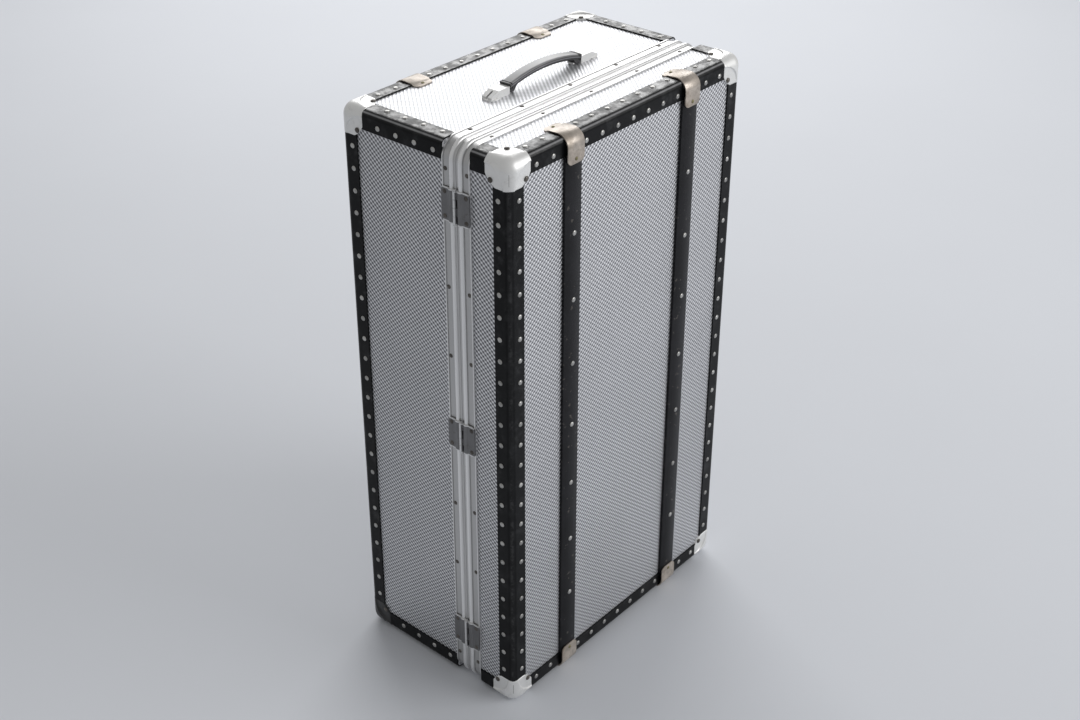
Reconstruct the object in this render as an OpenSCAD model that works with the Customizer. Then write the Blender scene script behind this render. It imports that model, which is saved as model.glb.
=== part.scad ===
// Trunk-style suitcase, standing on its short end like a narrow cupboard.
// The lid is the shallow front half and the base is the deep back half. Both are plywood
// boxes with black fibre edges, pressed corner caps, battens and a bent metal rim.
// X runs from the hinge side to the lock side, Y from the lid to the back, Z up.
// The origin is on the floor, under the middle of everything that stands out.

/* [Case] */
// Width over the fibre edges, from the hinge side to the lock side
case_w = 450; // [420:1:520]
// Depth over the fibre edges, lid and base together
case_d = 272; // [255:1:320]
// Height over the fibre edges, without the corner caps
case_h = 800; // [760:1:900]
// Depth of the lid, from its front face to the parting line
lid_d = 82; // [78:1:95]
// Gap between the two rims at the parting line
parting_gap = 0.5; // [0.4:0.1:1]

/* [Panels] */
// Thickness of the plywood panels
panel_t = 6; // [5:0.5:7]
// Thickness of the fabric lining
lining_t = 1; // [0.6:0.1:2]

/* [Fibre edges] */
// Width of each flange of an edge angle
edge_flange = 25; // [22:0.5:28]
// Thickness of the fibre
edge_t = 2; // [1.5:0.1:2.5]
// Outer radius along the edges
edge_r = 8; // [7.5:0.5:9]
// Distance of the rivet line from the outer face
rivet_line = 17; // [15:0.5:19]
// Spacing of the rivets along the upright edges
rivet_pitch_z = 30.3; // [24:0.1:40]
// Spacing of the rivets along the edges of the width
rivet_pitch_x = 29.7; // [24:0.1:40]
// Spacing of the rivets along the edges of the depth
rivet_pitch_y = 30.5; // [24:0.1:40]
// Room between the rim and the first of those rivets
rivet_room_rim = 13; // [8:0.5:20]
// Room between a cap and the last of those rivets
rivet_room_cap = 25; // [8:0.5:30]
// Diameter of an edge rivet's head
rivet_d = 6; // [4:0.5:7]
// Height of an edge rivet's head
rivet_h = 1.4; // [1:0.1:1.6]

/* [Corner caps] */
// Reach of a cap along each edge
cap_reach = 37; // [35:0.5:40]
// Radius of a cap's outline about the corner
cap_arc = 44; // [42:0.5:46]
// How far the ball of a cap stands out from the fibre
cap_stand = 3; // [2.9:0.1:4]
// How far the lobes of a cap stand out from the fibre
lobe_stand = 1.2; // [0.8:0.1:1.4]
// Rounding of the ball
ball_r = 14; // [12:0.5:15]
// Distance of a cap's rivets from both edges
cap_rivet = 28; // [26:0.5:29]
// Reach of the ball along each edge, where the crease to the lobes begins
cap_crease = 44; // [41.5:0.5:45]

/* [Battens] */
// Width of a batten
batten_w = 30; // [24:1:34]
// Thickness of a batten at its crown
batten_t = 6; // [5:0.5:7]
// Rise of the crown above the batten's shoulders
batten_crown = 2.4; // [1:0.2:3]
// Distance of each batten from the middle of the case
batten_x = 114; // [90:1:125]
// Spacing of the rivets along a batten
batten_pitch = 91; // [70:1:110]
// Room between a batten's end and the first of its rivets
batten_room = 100; // [40:1:120]

/* [Clips] */
// Thickness of the strap over a batten's end
clip_t = 1.4; // [1:0.1:1.5]
// Reach of the strap from the edge on each face
clip_reach = 36; // [34:0.5:40]
// Distance of the strap's rivets from the edge
clip_rivet = 30; // [28.5:0.5:32]
// Inner radius of the strap's bow
clip_bow = 9; // [7:0.5:11]
// Rounding of the strap's ends
clip_end_r = 6; // [3:0.5:9]

/* [Rim] */
// Bend radius of the rim at the case's corners
rim_bend = 24; // [21:0.5:26]
// Width of the rim on each side of the parting line
rim_w = 22; // [21:0.5:23]
// Thickness of the rim's walls
rim_t = 1.5; // [1.2:0.1:1.8]
// Radius of the round bead on each rim
bead_r = 3.5; // [3:0.1:3.8]
// Distance of the bead from the parting line
bead_y = 7; // [6.6:0.1:7.6]
// How far the bead stands out from the fibre
bead_stand = 2.5; // [2.2:0.1:2.7]
// Depth of the rim's inner lip
rim_lip = 14; // [10:0.5:18]
// Height of the tongue that enters the lid's groove
tongue_h = 3; // [2:0.1:3.2]
// Thickness of the tongue
tongue_t = 2; // [1.5:0.1:2.2]
// Distance of the rim's rivets from the parting line
rim_rivet = 17; // [16:0.1:17.5]
// Diameter of a rim rivet's head
rim_rivet_d = 4.5; // [3.5:0.1:5]
// Spacing of the rim's rivets along the top and the bottom
rim_pitch = 90.5; // [70:0.5:120]
// Distance of the rim's rivets from the middles of the hinges between them
rim_rivet_gap = 112; // [60:1:130]
// Distance of the rim's last rivets from the middles of the outer hinges
rim_rivet_end = 44; // [36:1:50]

/* [Hinges] */
// Height of a hinge
hinge_h = 44; // [36:1:60]
// Distance of the outer hinges' middles from the top and the bottom
hinge_end = 79; // [70:1:120]
// Thickness of the hinge leaves
leaf_t = 1.6; // [1.2:0.1:1.8]
// Diameter of the hinge pin
pin_d = 2.4; // [2:0.1:2.6]
// Outer radius of the knuckles
knuckle_r = 2.4; // [2.3:0.05:2.6]
// How far the pin's axis stands out from the fibre
pin_stand = 3.2; // [3.1:0.1:3.6]

/* [Handle] */
// Overall length of the handle with its housings
handle_l = 209; // [190:1:240]
// Distance of the handle from the lid's front face
handle_y = 146; // [140:1:170]
// Length of one housing
housing_l = 36; // [32:0.5:40]
// Width of a housing's body
housing_w = 16; // [15:0.5:20]
// Height of a housing above the panel
housing_h = 10; // [9.5:0.5:14]
// Wall of a housing
housing_wall = 1.4; // [1:0.1:1.6]
// Height of the grip's crown above the panel
grip_top = 22; // [20:0.5:28]
// Height of the grip at its ends above the panel
grip_end = 12.5; // [11:0.5:15]
// Thickness of the grip
grip_t = 8; // [7:0.5:10]
// How far the grip lifts
grip_lift = 5; // [2:0.5:5]

/* [Locks] */
// Distance of the locks from the middle of the height
lock_z = 205; // [150:1:240]
// Height of a lock body along the case
lock_h = 44; // [40:1:52]
// Width of a lock body across the case
lock_w = 34; // [32:1:40]
// How far a lock body stands out from the fibre
lock_stand = 5; // [4.5:0.5:6]
// Width of a hasp
hasp_w = 22; // [18:1:26]
// Thickness of a hasp
hasp_t = 1.6; // [1.2:0.1:2]
// Angle at which the sprung hasps stand off their locks
hasp_rest = 4.5; // [4:0.5:8]
// Travel of a lock's slide
slide_travel = 6; // [4:0.5:7]

/* [Hidden] */
$fn = 64;

// Clearances
seat_gap = 0.1;    // between a piece and what it lies on
run_gap = 0.05;    // radial, between a pin and its knuckle
side_gap = 0.4;    // between parts that turn or slide past each other

// Frame of the case
hw = case_w/2;
hd = case_d/2;
z_low = cap_stand;
z_high = z_low + case_h;
z_mid = z_low + case_h/2;
split_y = lid_d - hd;

// Levels, measured outwards from the fibre's outer face
panel_out = -edge_t;
panel_in = panel_out - panel_t;
flange_top = panel_out + rim_t;
lip_in = panel_in - rim_t;
batten_top = panel_out + batten_t;
clip_low = batten_top + seat_gap;

// Rim
half_gap = parting_gap/2;
bead_level = bead_stand - bead_r;
lip_w = 1.7;
lip_rise = 1;
nose_d = 5;
groove_w = tongue_t + 2;
groove_d = tongue_h + parting_gap + 0.6;
groove_mid = (panel_out + panel_in)/2;
inner_r = edge_r - edge_t;

// Hinges
hinge_z = case_h/2 - hinge_end;
leaf_in = bead_r + seat_gap;
leaf_out = leaf_in + leaf_t;
leaf_low = flange_top + lip_rise + 0.05;
leaf_w = rim_w + 0.5;
leaf_corner = 5;
hinge_reach = pin_stand + knuckle_r;
knuckles = 4;
leaf_rivet_z = hinge_h/2 - 6;
leaf_rivet_h = 1.2;

// Handle
top_panel = z_high + panel_out;
housing_in = handle_l/2 - housing_l;
grip_gap = 0.5;
grip_half = housing_in - grip_gap;
foot_l = 17;
flange_w = housing_w + 5;
flange_t = 1.8;
flat_l = 20;
slope_end_h = 4.2;
slot_w = 2.6;
tongue_strap_t = 2;
tongue_rest = 0.4;
window_w = 11;
head_w = housing_w - 2*housing_wall - 2*side_gap;
head_l = 4;

// Locks
lock_y = rim_w + 2;
lock_axis_y = -(rim_w + 3);
lock_axis_r = 3.2;
hasp_low = lock_stand + 0.5;
hasp_end = lock_y + 16;
hook_y = lock_y + 10;
hook_d = 3.2;
hook_t = 3;
hook_w = 8;
hasp_barrel_r = 2.6;
hasp_pin_r = 1.2;
hasp_plate_w = 24;
slide_y = lock_y + 17;
slide_l = 8;
slide_w = 12;
slide_floor = lock_stand - 1.6;
lock_reach = lock_axis_r + (hasp_low + hasp_t - lock_axis_r)*cos(hasp_rest)
    + (hasp_end - lock_axis_y)*sin(hasp_rest);

// The case is moved sideways so that hinges and locks stand out evenly from the origin
case_x = (hinge_reach - lock_reach)/2;

module placed() {
    translate([case_x, 0, 0]) children();
}

// Puts a shape made in the corner at the origin, in the positive octant, onto a corner
// of the case. Each sign names a side: -1 for hinge side, lid face or bottom.
module to_corner(sx, sy, sz) {
    translate([sx*hw, sy*hd, sz > 0 ? z_high : z_low])
        mirror([sx > 0 ? 1 : 0, 0, 0])
            mirror([0, sy > 0 ? 1 : 0, 0])
                mirror([0, 0, sz > 0 ? 1 : 0])
                    children();
}

// Domed rivet head that stands on the XY plane
module rivet(d, h) {
    ball = (d*d/4 + h*h)/(2*h);
    rotate_extrude()
        intersection() {
            translate([0, h - ball]) circle(ball);
            square([d/2, h]);
        }
}

// Square with its corner at the origin rounded
module corner_square(size, r) {
    translate([r, 0]) square([size - r, size]);
    translate([0, r]) square([size, size - r]);
    translate([r, r]) circle(r);
}

// Block in the positive octant whose corner and three edges at the origin are rounded.
// It starts at a level, measured outwards from the fibre.
module corner_block(level, size, r) {
    translate([-level, -level, -level]) {
        translate([r, r, 0]) cube([size.x - r, size.y - r, size.z]);
        translate([r, 0, r]) cube([size.x - r, size.y, size.z - r]);
        translate([0, r, r]) cube([size.x, size.y - r, size.z - r]);
        translate([r, r, r]) sphere(r);
        translate([r, r, r]) cylinder(r = r, h = size.z - r);
        translate([r, r, r]) rotate([0, 90, 0]) cylinder(r = r, h = size.x - r);
        translate([r, r, r]) rotate([-90, 0, 0]) cylinder(r = r, h = size.y - r);
    }
}

// Panels

// Outline of a panel level seen from the front, with the rim's bend at its corners
module rim_outline(level) {
    w = hw + level;
    h = case_h/2 + level;
    r = rim_bend + level;
    square([2*w, 2*(h - r)], center = true);
    square([2*(w - r), 2*h], center = true);
    for (x = [-1, 1], y = [-1, 1])
        translate([x*(w - r), y*(h - r)]) circle(r);
}

// Turns a plan drawn in X and height, with Z as the way to the back, into the case
module in_front_plane(y) {
    translate([0, y, z_mid])
        mirror([0, 1, 0]) rotate([90, 0, 0]) children();
}

// What the bent rim leaves of the panels beside the parting line
module inside_rim(side) {
    reach = rim_w + side_gap;
    start = rim_w + side_gap/2;
    far = 2*case_d;
    in_front_plane(split_y - reach)
        linear_extrude(2*reach) rim_outline(panel_out - seat_gap);
    translate([-case_w, side > 0 ? split_y + start : split_y - start - far, -case_h])
        cube([2*case_w, far, 3*case_h]);
}

// Upright face panel with all its outer edges rounded, for the lid's front or the back
module face_panel(sy) {
    quarter = [hw + panel_out, 2*panel_t, case_h/2 + panel_out];
    for (sx = [-1, 1], sz = [-1, 1])
        to_corner(sx, sy, sz)
            intersection() {
                corner_block(panel_out, quarter, inner_r);
                translate([0, -panel_out, 0]) cube([hw, panel_t, case_h/2]);
            }
}

// Span of the side panels along Y, from the rim to the face panel's inner side
base_panel_start = rim_t + half_gap + seat_gap;
lid_panel_start = nose_d + half_gap + seat_gap;
function side_start(sy) = sy > 0 ? split_y + base_panel_start : -hd - panel_in;
function side_length(sy) = sy > 0 ? case_d - lid_d + panel_in - base_panel_start
    : lid_d + panel_in - lid_panel_start;

// Level panel at the top or bottom, rounded along its two outer edges
module level_panel(sy, sz) {
    w = hw + panel_out;
    y = side_start(sy);
    length = side_length(sy);
    intersection() {
        translate([-w, y, sz > 0 ? z_high + panel_in : z_low - panel_out])
            cube([2*w, length, panel_t]);
        translate([0, y, 0]) rotate([90, 0, 0]) mirror([0, 0, 1])
            linear_extrude(length) level_section(sz);
        inside_rim(sy);
    }
}

// Section of a level panel with its two outer edges rounded
module level_section(sz) {
    for (sx = [-1, 1])
        translate([sx*(hw + panel_out), sz > 0 ? z_high + panel_out : z_low - panel_out])
            mirror([sx > 0 ? 1 : 0, 0]) mirror([0, sz > 0 ? 1 : 0]) {
                translate([inner_r, 0]) square([hw + panel_out - inner_r, 2*panel_t]);
                translate([0, inner_r]) square([hw, 2*panel_t]);
                translate([inner_r, inner_r]) circle(inner_r);
            }
}

// Upright side panel between the top and bottom panels
module upright_panel(sy, sx) {
    intersection() {
        translate([sx > 0 ? hw + panel_in : -hw - panel_out, side_start(sy), z_low - panel_in])
            cube([panel_t, side_length(sy), case_h + 2*panel_in]);
        inside_rim(sy);
    }
}

// Fabric on the inner sides of the panels, behind the rim's inner lip
module lining(sy) {
    w = hw + panel_in;
    h = case_h + 2*panel_in;
    start = rim_lip + half_gap + 0.3;
    length = (sy > 0 ? case_d - lid_d : lid_d) + panel_in - start;
    y = sy > 0 ? split_y + start : split_y - start - length;
    difference() {
        intersection() {
            translate([-w, y, z_low - panel_in]) cube([2*w, length, h]);
            inside_rim(sy);
        }
        translate([lining_t - w, sy > 0 ? y - 1 : y + lining_t, z_low - panel_in + lining_t])
            cube([2*(w - lining_t), length + 1 - lining_t, h - 2*lining_t]);
    }
}

// Rim

// Cross-section of the base's rim: X is the level, Y the distance from the parting line
module base_rim_profile() {
    translate([panel_out, half_gap]) square([rim_t, rim_w - half_gap]);
    translate([flange_top, rim_w - lip_w]) square([lip_rise, lip_w]);
    intersection() {
        translate([bead_level, bead_y]) circle(bead_r);
        translate([panel_out, 0]) square([bead_stand - panel_out, rim_w]);
    }
    translate([lip_in, half_gap]) square([panel_out - lip_in, rim_t]);
    translate([lip_in, half_gap]) square([rim_t, rim_lip]);
    translate([groove_mid - tongue_t/2, -tongue_h]) square([tongue_t, tongue_h + half_gap + rim_t]);
}

// Cross-section of the lid's rim, whose nose holds the groove for the tongue
module lid_rim_profile() {
    difference() {
        union() {
            translate([panel_out, half_gap]) square([rim_t, rim_w - half_gap]);
            translate([flange_top, rim_w - lip_w]) square([lip_rise, lip_w]);
            intersection() {
                translate([bead_level, bead_y]) circle(bead_r);
                translate([panel_out, 0]) square([bead_stand - panel_out, rim_w]);
            }
            translate([lip_in, half_gap]) square([panel_out - lip_in, nose_d]);
            translate([lip_in, half_gap]) square([rim_t, rim_lip]);
        }
        translate([groove_mid - groove_w/2, 0]) square([groove_w, groove_d]);
    }
}

// Sweeps a rim profile round the case, in the plan of in_front_plane
module around_case() {
    for (end = [0, 1])
        mirror([end, 0, 0])
            translate([hw, case_h/2 - rim_bend, 0])
                rotate([90, 0, 0]) linear_extrude(case_h - 2*rim_bend) children();
    for (end = [0, 1])
        mirror([0, end, 0])
            translate([rim_bend - hw, case_h/2, 0])
                rotate([90, 0, 90]) linear_extrude(case_w - 2*rim_bend) children();
    for (ex = [0, 1], ey = [0, 1])
        mirror([ex, 0, 0]) mirror([0, ey, 0])
            translate([hw - rim_bend, case_h/2 - rim_bend, 0])
                rotate_extrude(angle = 90) translate([rim_bend, 0]) children();
}

module base_rim() {
    color("silver") placed() in_front_plane(split_y) around_case() base_rim_profile();
}

module lid_rim() {
    color("silver") placed() in_front_plane(split_y)
        mirror([0, 0, 1]) around_case() lid_rim_profile();
}

// Fibre edges

module edge_profile() {
    difference() {
        corner_square(edge_flange, edge_r);
        translate([edge_t, edge_t]) corner_square(edge_flange, inner_r);
    }
}

// Where an edge strip ends under a cap: the upright ones run on, the others stop short
upright_end = ball_r;
level_end = edge_flange + 0.3;

// Upright strip at one side of the back or of the lid's front
module upright_edge(sx, sy) {
    color("black") placed() to_corner(sx, sy, -1)
        translate([0, 0, upright_end])
            linear_extrude(case_h - 2*upright_end) edge_profile();
}

// Strip along the width, at the top or bottom of the back or of the lid's front
module width_edge(sy, sz) {
    color("black") placed() to_corner(-1, sy, sz)
        translate([level_end, 0, 0]) rotate([90, 0, 90])
            linear_extrude(case_w - 2*level_end) edge_profile();
}

// The four short strips along the depth of one half, from the caps to the rim
module corner_edges(sy) {
    length = (sy > 0 ? case_d - lid_d : lid_d) - rim_w - side_gap - level_end;
    color("black") placed()
        for (sx = [-1, 1], sz = [-1, 1])
            to_corner(sx, sy, sz)
                translate([0, level_end + length, 0]) rotate([90, 0, 0])
                    linear_extrude(length) edge_profile();
}

// Corner caps

// Everything on the near side of a plane, given its normal and its distance
module near_side(normal, distance) {
    big = 6*cap_arc;
    rotate([0, acos(normal.z/norm(normal)), atan2(normal.y, normal.x)])
        translate([-big/2, -big/2, distance/norm(normal) - big]) cube(big);
}

// Inside of the three creases that bound the ball, each with a sloped step
module inside_creases() {
    slope = 0.6;
    intersection() {
        near_side([-slope, 1, 1], cap_crease);
        near_side([1, -slope, 1], cap_crease);
        near_side([1, 1, -slope], cap_crease);
    }
}

// The case's own surface under a cap: fibre flanges, and panels between them
module under_cap() {
    size = 2*cap_arc;
    block = [size, size, size];
    corner_block(panel_out, block, inner_r);
    intersection() {
        corner_block(0, block, edge_r);
        union() {
            translate([-1, -1, -1]) cube([edge_flange + 1, edge_flange + 1, size]);
            translate([-1, -1, -1]) cube([edge_flange + 1, size, edge_flange + 1]);
            translate([-1, -1, -1]) cube([size, edge_flange + 1, edge_flange + 1]);
        }
    }
}

// Pressed cap: a ball over the corner and three flat lobes
module corner_cap() {
    block = 2*[cap_arc, cap_arc, cap_arc];
    difference() {
        intersection() {
            union() {
                corner_block(lobe_stand, block, edge_r + lobe_stand);
                intersection() {
                    corner_block(cap_stand, block, ball_r);
                    inside_creases();
                }
            }
            translate([-cap_stand, -cap_stand, -cap_stand]) cube(cap_reach + cap_stand);
            sphere(cap_arc);
        }
        under_cap();
    }
}

module placed_cap(sx, sy, sz, shade) {
    color(shade) placed() to_corner(sx, sy, sz) corner_cap();
}

// The three rivets of each cap, one on each lobe, lower than the ball
module cap_rivets(sy) {
    for (sx = [-1, 1], sz = [-1, 1])
        to_corner(sx, sy, sz) {
            translate([-lobe_stand, cap_rivet, cap_rivet]) rotate([0, -90, 0]) rivet(rivet_d, rivet_h);
            translate([cap_rivet, -lobe_stand, cap_rivet]) rotate([90, 0, 0]) rivet(rivet_d, rivet_h);
            translate([cap_rivet, cap_rivet, -lobe_stand]) rotate([180, 0, 0]) rivet(rivet_d, rivet_h);
        }
}

// Battens

batten_end = edge_flange + 0.3;

module batten_profile() {
    half = batten_w/2;
    crown_r = (half*half + batten_crown*batten_crown)/(2*batten_crown);
    intersection() {
        translate([-half, 0]) square([batten_w, batten_t]);
        translate([0, batten_t - crown_r]) circle(crown_r, $fn = 200);
    }
}

// Batten on the back or on the lid's front, upright between the fibre edges
module batten(sx, sy) {
    color("black") placed()
        translate([sx*batten_x, sy*(hd + panel_out), z_low + batten_end])
            mirror([0, sy > 0 ? 0 : 1, 0])
                linear_extrude(case_h - 2*batten_end) batten_profile();
}

// Clips

// Side view of the strap, with X as the way in from the face and Y as the height
// below the top face. It runs down over the batten's end and in along the top.
module clip_profile() {
    bow_x = clip_bow - clip_low;
    rise = 1;
    bow_y = clip_bow - rise;
    out = clip_low + clip_t;
    land_x = edge_flange + 2;
    land = panel_out + seat_gap;
    translate([-out, bow_y]) square([clip_t, clip_reach - bow_y]);
    intersection() {
        difference() {
            translate([bow_x, bow_y]) circle(clip_bow + clip_t);
            translate([bow_x, bow_y]) circle(clip_bow);
        }
        translate([bow_x - 2*clip_bow, bow_y - 2*clip_bow]) square(2*clip_bow);
    }
    polygon([
        [bow_x, -rise], [bow_x, -rise - clip_t], [edge_flange, -seat_gap - clip_t],
        [land_x + clip_t/2, -land - clip_t], [clip_reach, -land - clip_t],
        [clip_reach, -land], [land_x, -land], [edge_flange, -seat_gap]
    ]);
}

// Strap as wide as the batten, with rounded ends on both legs
module clip() {
    out = clip_low + clip_t;
    w = batten_w;
    top = 2*clip_bow;
    intersection() {
        translate([-w/2, 0, 0]) rotate([90, 0, 90]) linear_extrude(w) clip_profile();
        union() {
            translate([0, clip_bow, 0]) rotate([90, 0, 0])
                linear_extrude(clip_bow + out + 1) clip_plan(top);
            translate([0, 0, clip_bow]) mirror([0, 0, 1])
                linear_extrude(clip_bow + out + 1) clip_plan(top);
        }
    }
}

// Outline of one leg of the strap, from beyond the edge down to its rounded end
module clip_plan(beyond) {
    w = batten_w;
    r = clip_end_r;
    translate([-w/2, -beyond]) square([w, clip_reach - r + beyond]);
    translate([r - w/2, 0]) square([w - 2*r, clip_reach]);
    for (x = [r - w/2, w/2 - r])
        translate([x, clip_reach - r]) circle(r);
}

// Puts a shape at a batten's end, made as for the lid's front at the bottom
module at_batten_ends(sy) {
    for (sx = [-1, 1], sz = [-1, 1])
        translate([sx*batten_x, sy*hd, sz > 0 ? z_high : z_low])
            mirror([0, sy > 0 ? 1 : 0, 0])
                mirror([0, 0, sz > 0 ? 1 : 0])
                    children();
}

module clips(sy) {
    color("tan") placed() at_batten_ends(sy) clip();
}

module clip_rivets(sy) {
    at_batten_ends(sy) {
        translate([0, -clip_low - clip_t, clip_rivet]) rotate([90, 0, 0])
            rivet(rim_rivet_d, rivet_h);
        translate([0, clip_rivet, -panel_out - seat_gap - clip_t]) rotate([180, 0, 0])
            rivet(rim_rivet_d, rivet_h);
    }
}

// Rivets of the fibre edges

// Offsets of a row of copies that is centred on 0 and stays within a span
function centred_row(span, pitch) =
    let (n = floor(span/pitch)) [for (i = [0:1:n]) (i - n/2)*pitch];

upright_row = centred_row(case_h - 2*(cap_reach + 8), rivet_pitch_z);
width_row = centred_row(case_w - 2*(cap_reach + 8), rivet_pitch_x);
clip_clear = batten_w/2 + rivet_d/2 + 1;
function depth_room(sy) = (sy > 0 ? case_d - lid_d : lid_d)
    - rim_w - cap_reach - rivet_room_rim - rivet_room_cap;
function depth_mid(sy) = cap_reach + rivet_room_cap + depth_room(sy)/2;

module edge_rivets(sy) {
    for (sx = [-1, 1], z = upright_row)
        translate([sx*hw, sy*hd, z_mid + z])
            mirror([sx > 0 ? 1 : 0, 0, 0]) mirror([0, sy > 0 ? 1 : 0, 0]) {
                translate([0, rivet_line, 0]) rotate([0, -90, 0]) rivet(rivet_d, rivet_h);
                translate([rivet_line, 0, 0]) rotate([90, 0, 0]) rivet(rivet_d, rivet_h);
            }
    for (sz = [-1, 1], x = width_row)
        if (abs(abs(x) - batten_x) > clip_clear)
            translate([x, sy*hd, sz > 0 ? z_high : z_low])
                mirror([0, sy > 0 ? 1 : 0, 0]) mirror([0, 0, sz > 0 ? 1 : 0]) {
                    translate([0, rivet_line, 0]) rotate([180, 0, 0]) rivet(rivet_d, rivet_h);
                    translate([0, 0, rivet_line]) rotate([90, 0, 0]) rivet(rivet_d, rivet_h);
                }
    for (sx = [-1, 1], sz = [-1, 1], y = centred_row(depth_room(sy), rivet_pitch_y))
        to_corner(sx, sy, sz) {
            translate([0, depth_mid(sy) + y, rivet_line]) rotate([0, -90, 0])
                rivet(rivet_d, rivet_h);
            translate([rivet_line, depth_mid(sy) + y, 0]) rotate([180, 0, 0])
                rivet(rivet_d, rivet_h);
        }
}

module batten_rivets(sy) {
    room = case_h - 2*(batten_end + batten_room);
    for (sx = [-1, 1], z = centred_row(room, batten_pitch))
        translate([sx*batten_x, sy*(hd + batten_top), z_mid + z])
            rotate([sy > 0 ? -90 : 90, 0, 0]) rivet(rivet_d, rivet_h);
}

module half_rivets(sy) {
    color("gainsboro") placed() {
        edge_rivets(sy);
        cap_rivets(sy);
        batten_rivets(sy);
        clip_rivets(sy);
    }
}

// Rivets of the rim and of the hinges
rim_rivet_z = [rim_rivet_gap, hinge_z - rim_rivet_gap, hinge_z + rim_rivet_end];
rim_rivet_h = 1;
rim_row = centred_row(case_w - 2*(rim_bend + rim_w/2), rim_pitch);

module rim_rivets(sy) {
    y = split_y + sy*rim_rivet;
    color("gray") placed() {
        for (sx = [-1, 1], z = rim_rivet_z, side = [-1, 1])
            translate([sx*(hw + flange_top), y, z_mid + side*z])
                rotate([0, sx*90, 0]) rivet(rim_rivet_d, rim_rivet_h);
        for (sz = [-1, 1], x = rim_row)
            translate([x, y, sz > 0 ? z_high + flange_top : z_low - flange_top])
                rotate([sz > 0 ? 0 : 180, 0, 0]) rivet(rim_rivet_d, rim_rivet_h);
        for (z = [-hinge_z, 0, hinge_z], end = [-1, 1])
            translate([-hw - leaf_low - leaf_t, y, z_mid + z + end*leaf_rivet_z])
                rotate([0, -90, 0]) rivet(rim_rivet_d, leaf_rivet_h);
    }
}

// Hinges

// Cross-section of a leaf: X is the level, Y the distance from the parting line
module leaf_profile() {
    flat_start = bead_y + leaf_in;
    translate([leaf_low, flat_start]) square([leaf_t, leaf_w - flat_start]);
    intersection() {
        translate([bead_level, bead_y])
            difference() {
                circle(leaf_out);
                circle(leaf_in);
            }
        translate([leaf_low, 0]) square([2*leaf_out, rim_w]);
    }
}

// Knuckle round the pin, joined to the leaf's hump
module knuckle_profile() {
    difference() {
        union() {
            translate([pin_stand, 0]) circle(knuckle_r);
            difference() {
                translate([pin_stand - knuckle_r, 0]) square([knuckle_r, bead_y]);
                translate([bead_level, bead_y]) circle((leaf_in + leaf_out)/2);
            }
        }
        translate([pin_stand, 0]) circle(pin_d/2 + run_gap);
    }
}

// Leaf on the base (side 1) or on the lid (side -1); the knuckles take turns
module hinge_leaf(side, z) {
    part_h = hinge_h/knuckles;
    first = side > 0 ? 0 : 1;
    color("lightsteelblue") placed()
        translate([-hw, split_y, z_mid + z - hinge_h/2])
            mirror([1, 0, 0]) mirror([0, side > 0 ? 0 : 1, 0]) {
                intersection() {
                    linear_extrude(hinge_h) leaf_profile();
                    translate([-1, 0, 0]) rotate([90, 0, 90]) linear_extrude(20) leaf_plan();
                }
                for (k = [first:2:knuckles - 1])
                    translate([0, 0, k*part_h + side_gap/2])
                        linear_extrude(part_h - side_gap) knuckle_profile();
            }
}

// Outline of a leaf seen from the side, rounded at its outer corners
module leaf_plan() {
    r = leaf_corner;
    square([leaf_w - r, hinge_h]);
    translate([0, r]) square([leaf_w, hinge_h - 2*r]);
    for (y = [r, hinge_h - r])
        translate([leaf_w - r, y]) circle(r);
}

module hinge_pins() {
    color("dimgray") placed()
        for (z = [-hinge_z, 0, hinge_z])
            translate([-hw - pin_stand, split_y, z_mid + z - hinge_h/2 - 1]) {
                cylinder(d = pin_d, h = hinge_h + 2);
                translate([0, 0, -0.2]) cylinder(r = knuckle_r - 0.2, h = 1);
                translate([0, 0, hinge_h + 1.2]) cylinder(r = knuckle_r - 0.2, h = 1);
            }
}

// Handle

// Puts a shape made along X from the middle of the handle onto the top panel
module on_handle_line() {
    translate([0, handle_y - hd, top_panel]) children();
}

// Side view of a housing, with its flat top and its sloping outer end
module housing_side(inset) {
    top = housing_h - inset;
    flat_end = housing_in + flat_l;
    tip = handle_l/2 - 3;
    polygon([
        [housing_in, 0], [tip - inset*2, 0], [tip - inset*2, slope_end_h - inset],
        [flat_end, top], [housing_in, top]
    ]);
}

// Pressed housing with a flange, open towards the grip, slotted in its slope
module handle_housing() {
    body_w = housing_w;
    tip_r = flange_w/2;
    flange_start = housing_in + flat_l;
    difference() {
        union() {
            translate([0, body_w/2, 0]) rotate([90, 0, 0])
                linear_extrude(body_w) housing_side(0);
            linear_extrude(flange_t) {
                intersection() {
                    translate([handle_l/2 - tip_r, 0]) circle(tip_r);
                    translate([flange_start, -tip_r]) square([tip_r*2, tip_r*2]);
                }
                translate([flange_start, -tip_r])
                    square([handle_l/2 - tip_r - flange_start, flange_w]);
            }
        }
        translate([0, body_w/2 - housing_wall, -0.01]) rotate([90, 0, 0])
            linear_extrude(body_w - 2*housing_wall)
                difference() {
                    housing_side(housing_wall);
                    square([housing_in + housing_wall, 2*housing_h]);
                }
        translate([housing_in - 1, -window_w/2, -0.01])
            cube([housing_wall + 2, window_w, housing_h - housing_wall]);
        translate([housing_in + flat_l + 2, -slot_w/2, flange_t])
            cube([11, slot_w, 2*housing_h]);
    }
}

module handle_housings() {
    color("gainsboro") placed() on_handle_line()
        for (end = [0, 1])
            mirror([end, 0, 0]) handle_housing();
}

// Rise of the grip's arc from its ends to its middle, and the arc's radius
grip_rise = grip_top - grip_end;
grip_arc = (grip_half*grip_half + grip_rise*grip_rise)/(2*grip_rise);

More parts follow.
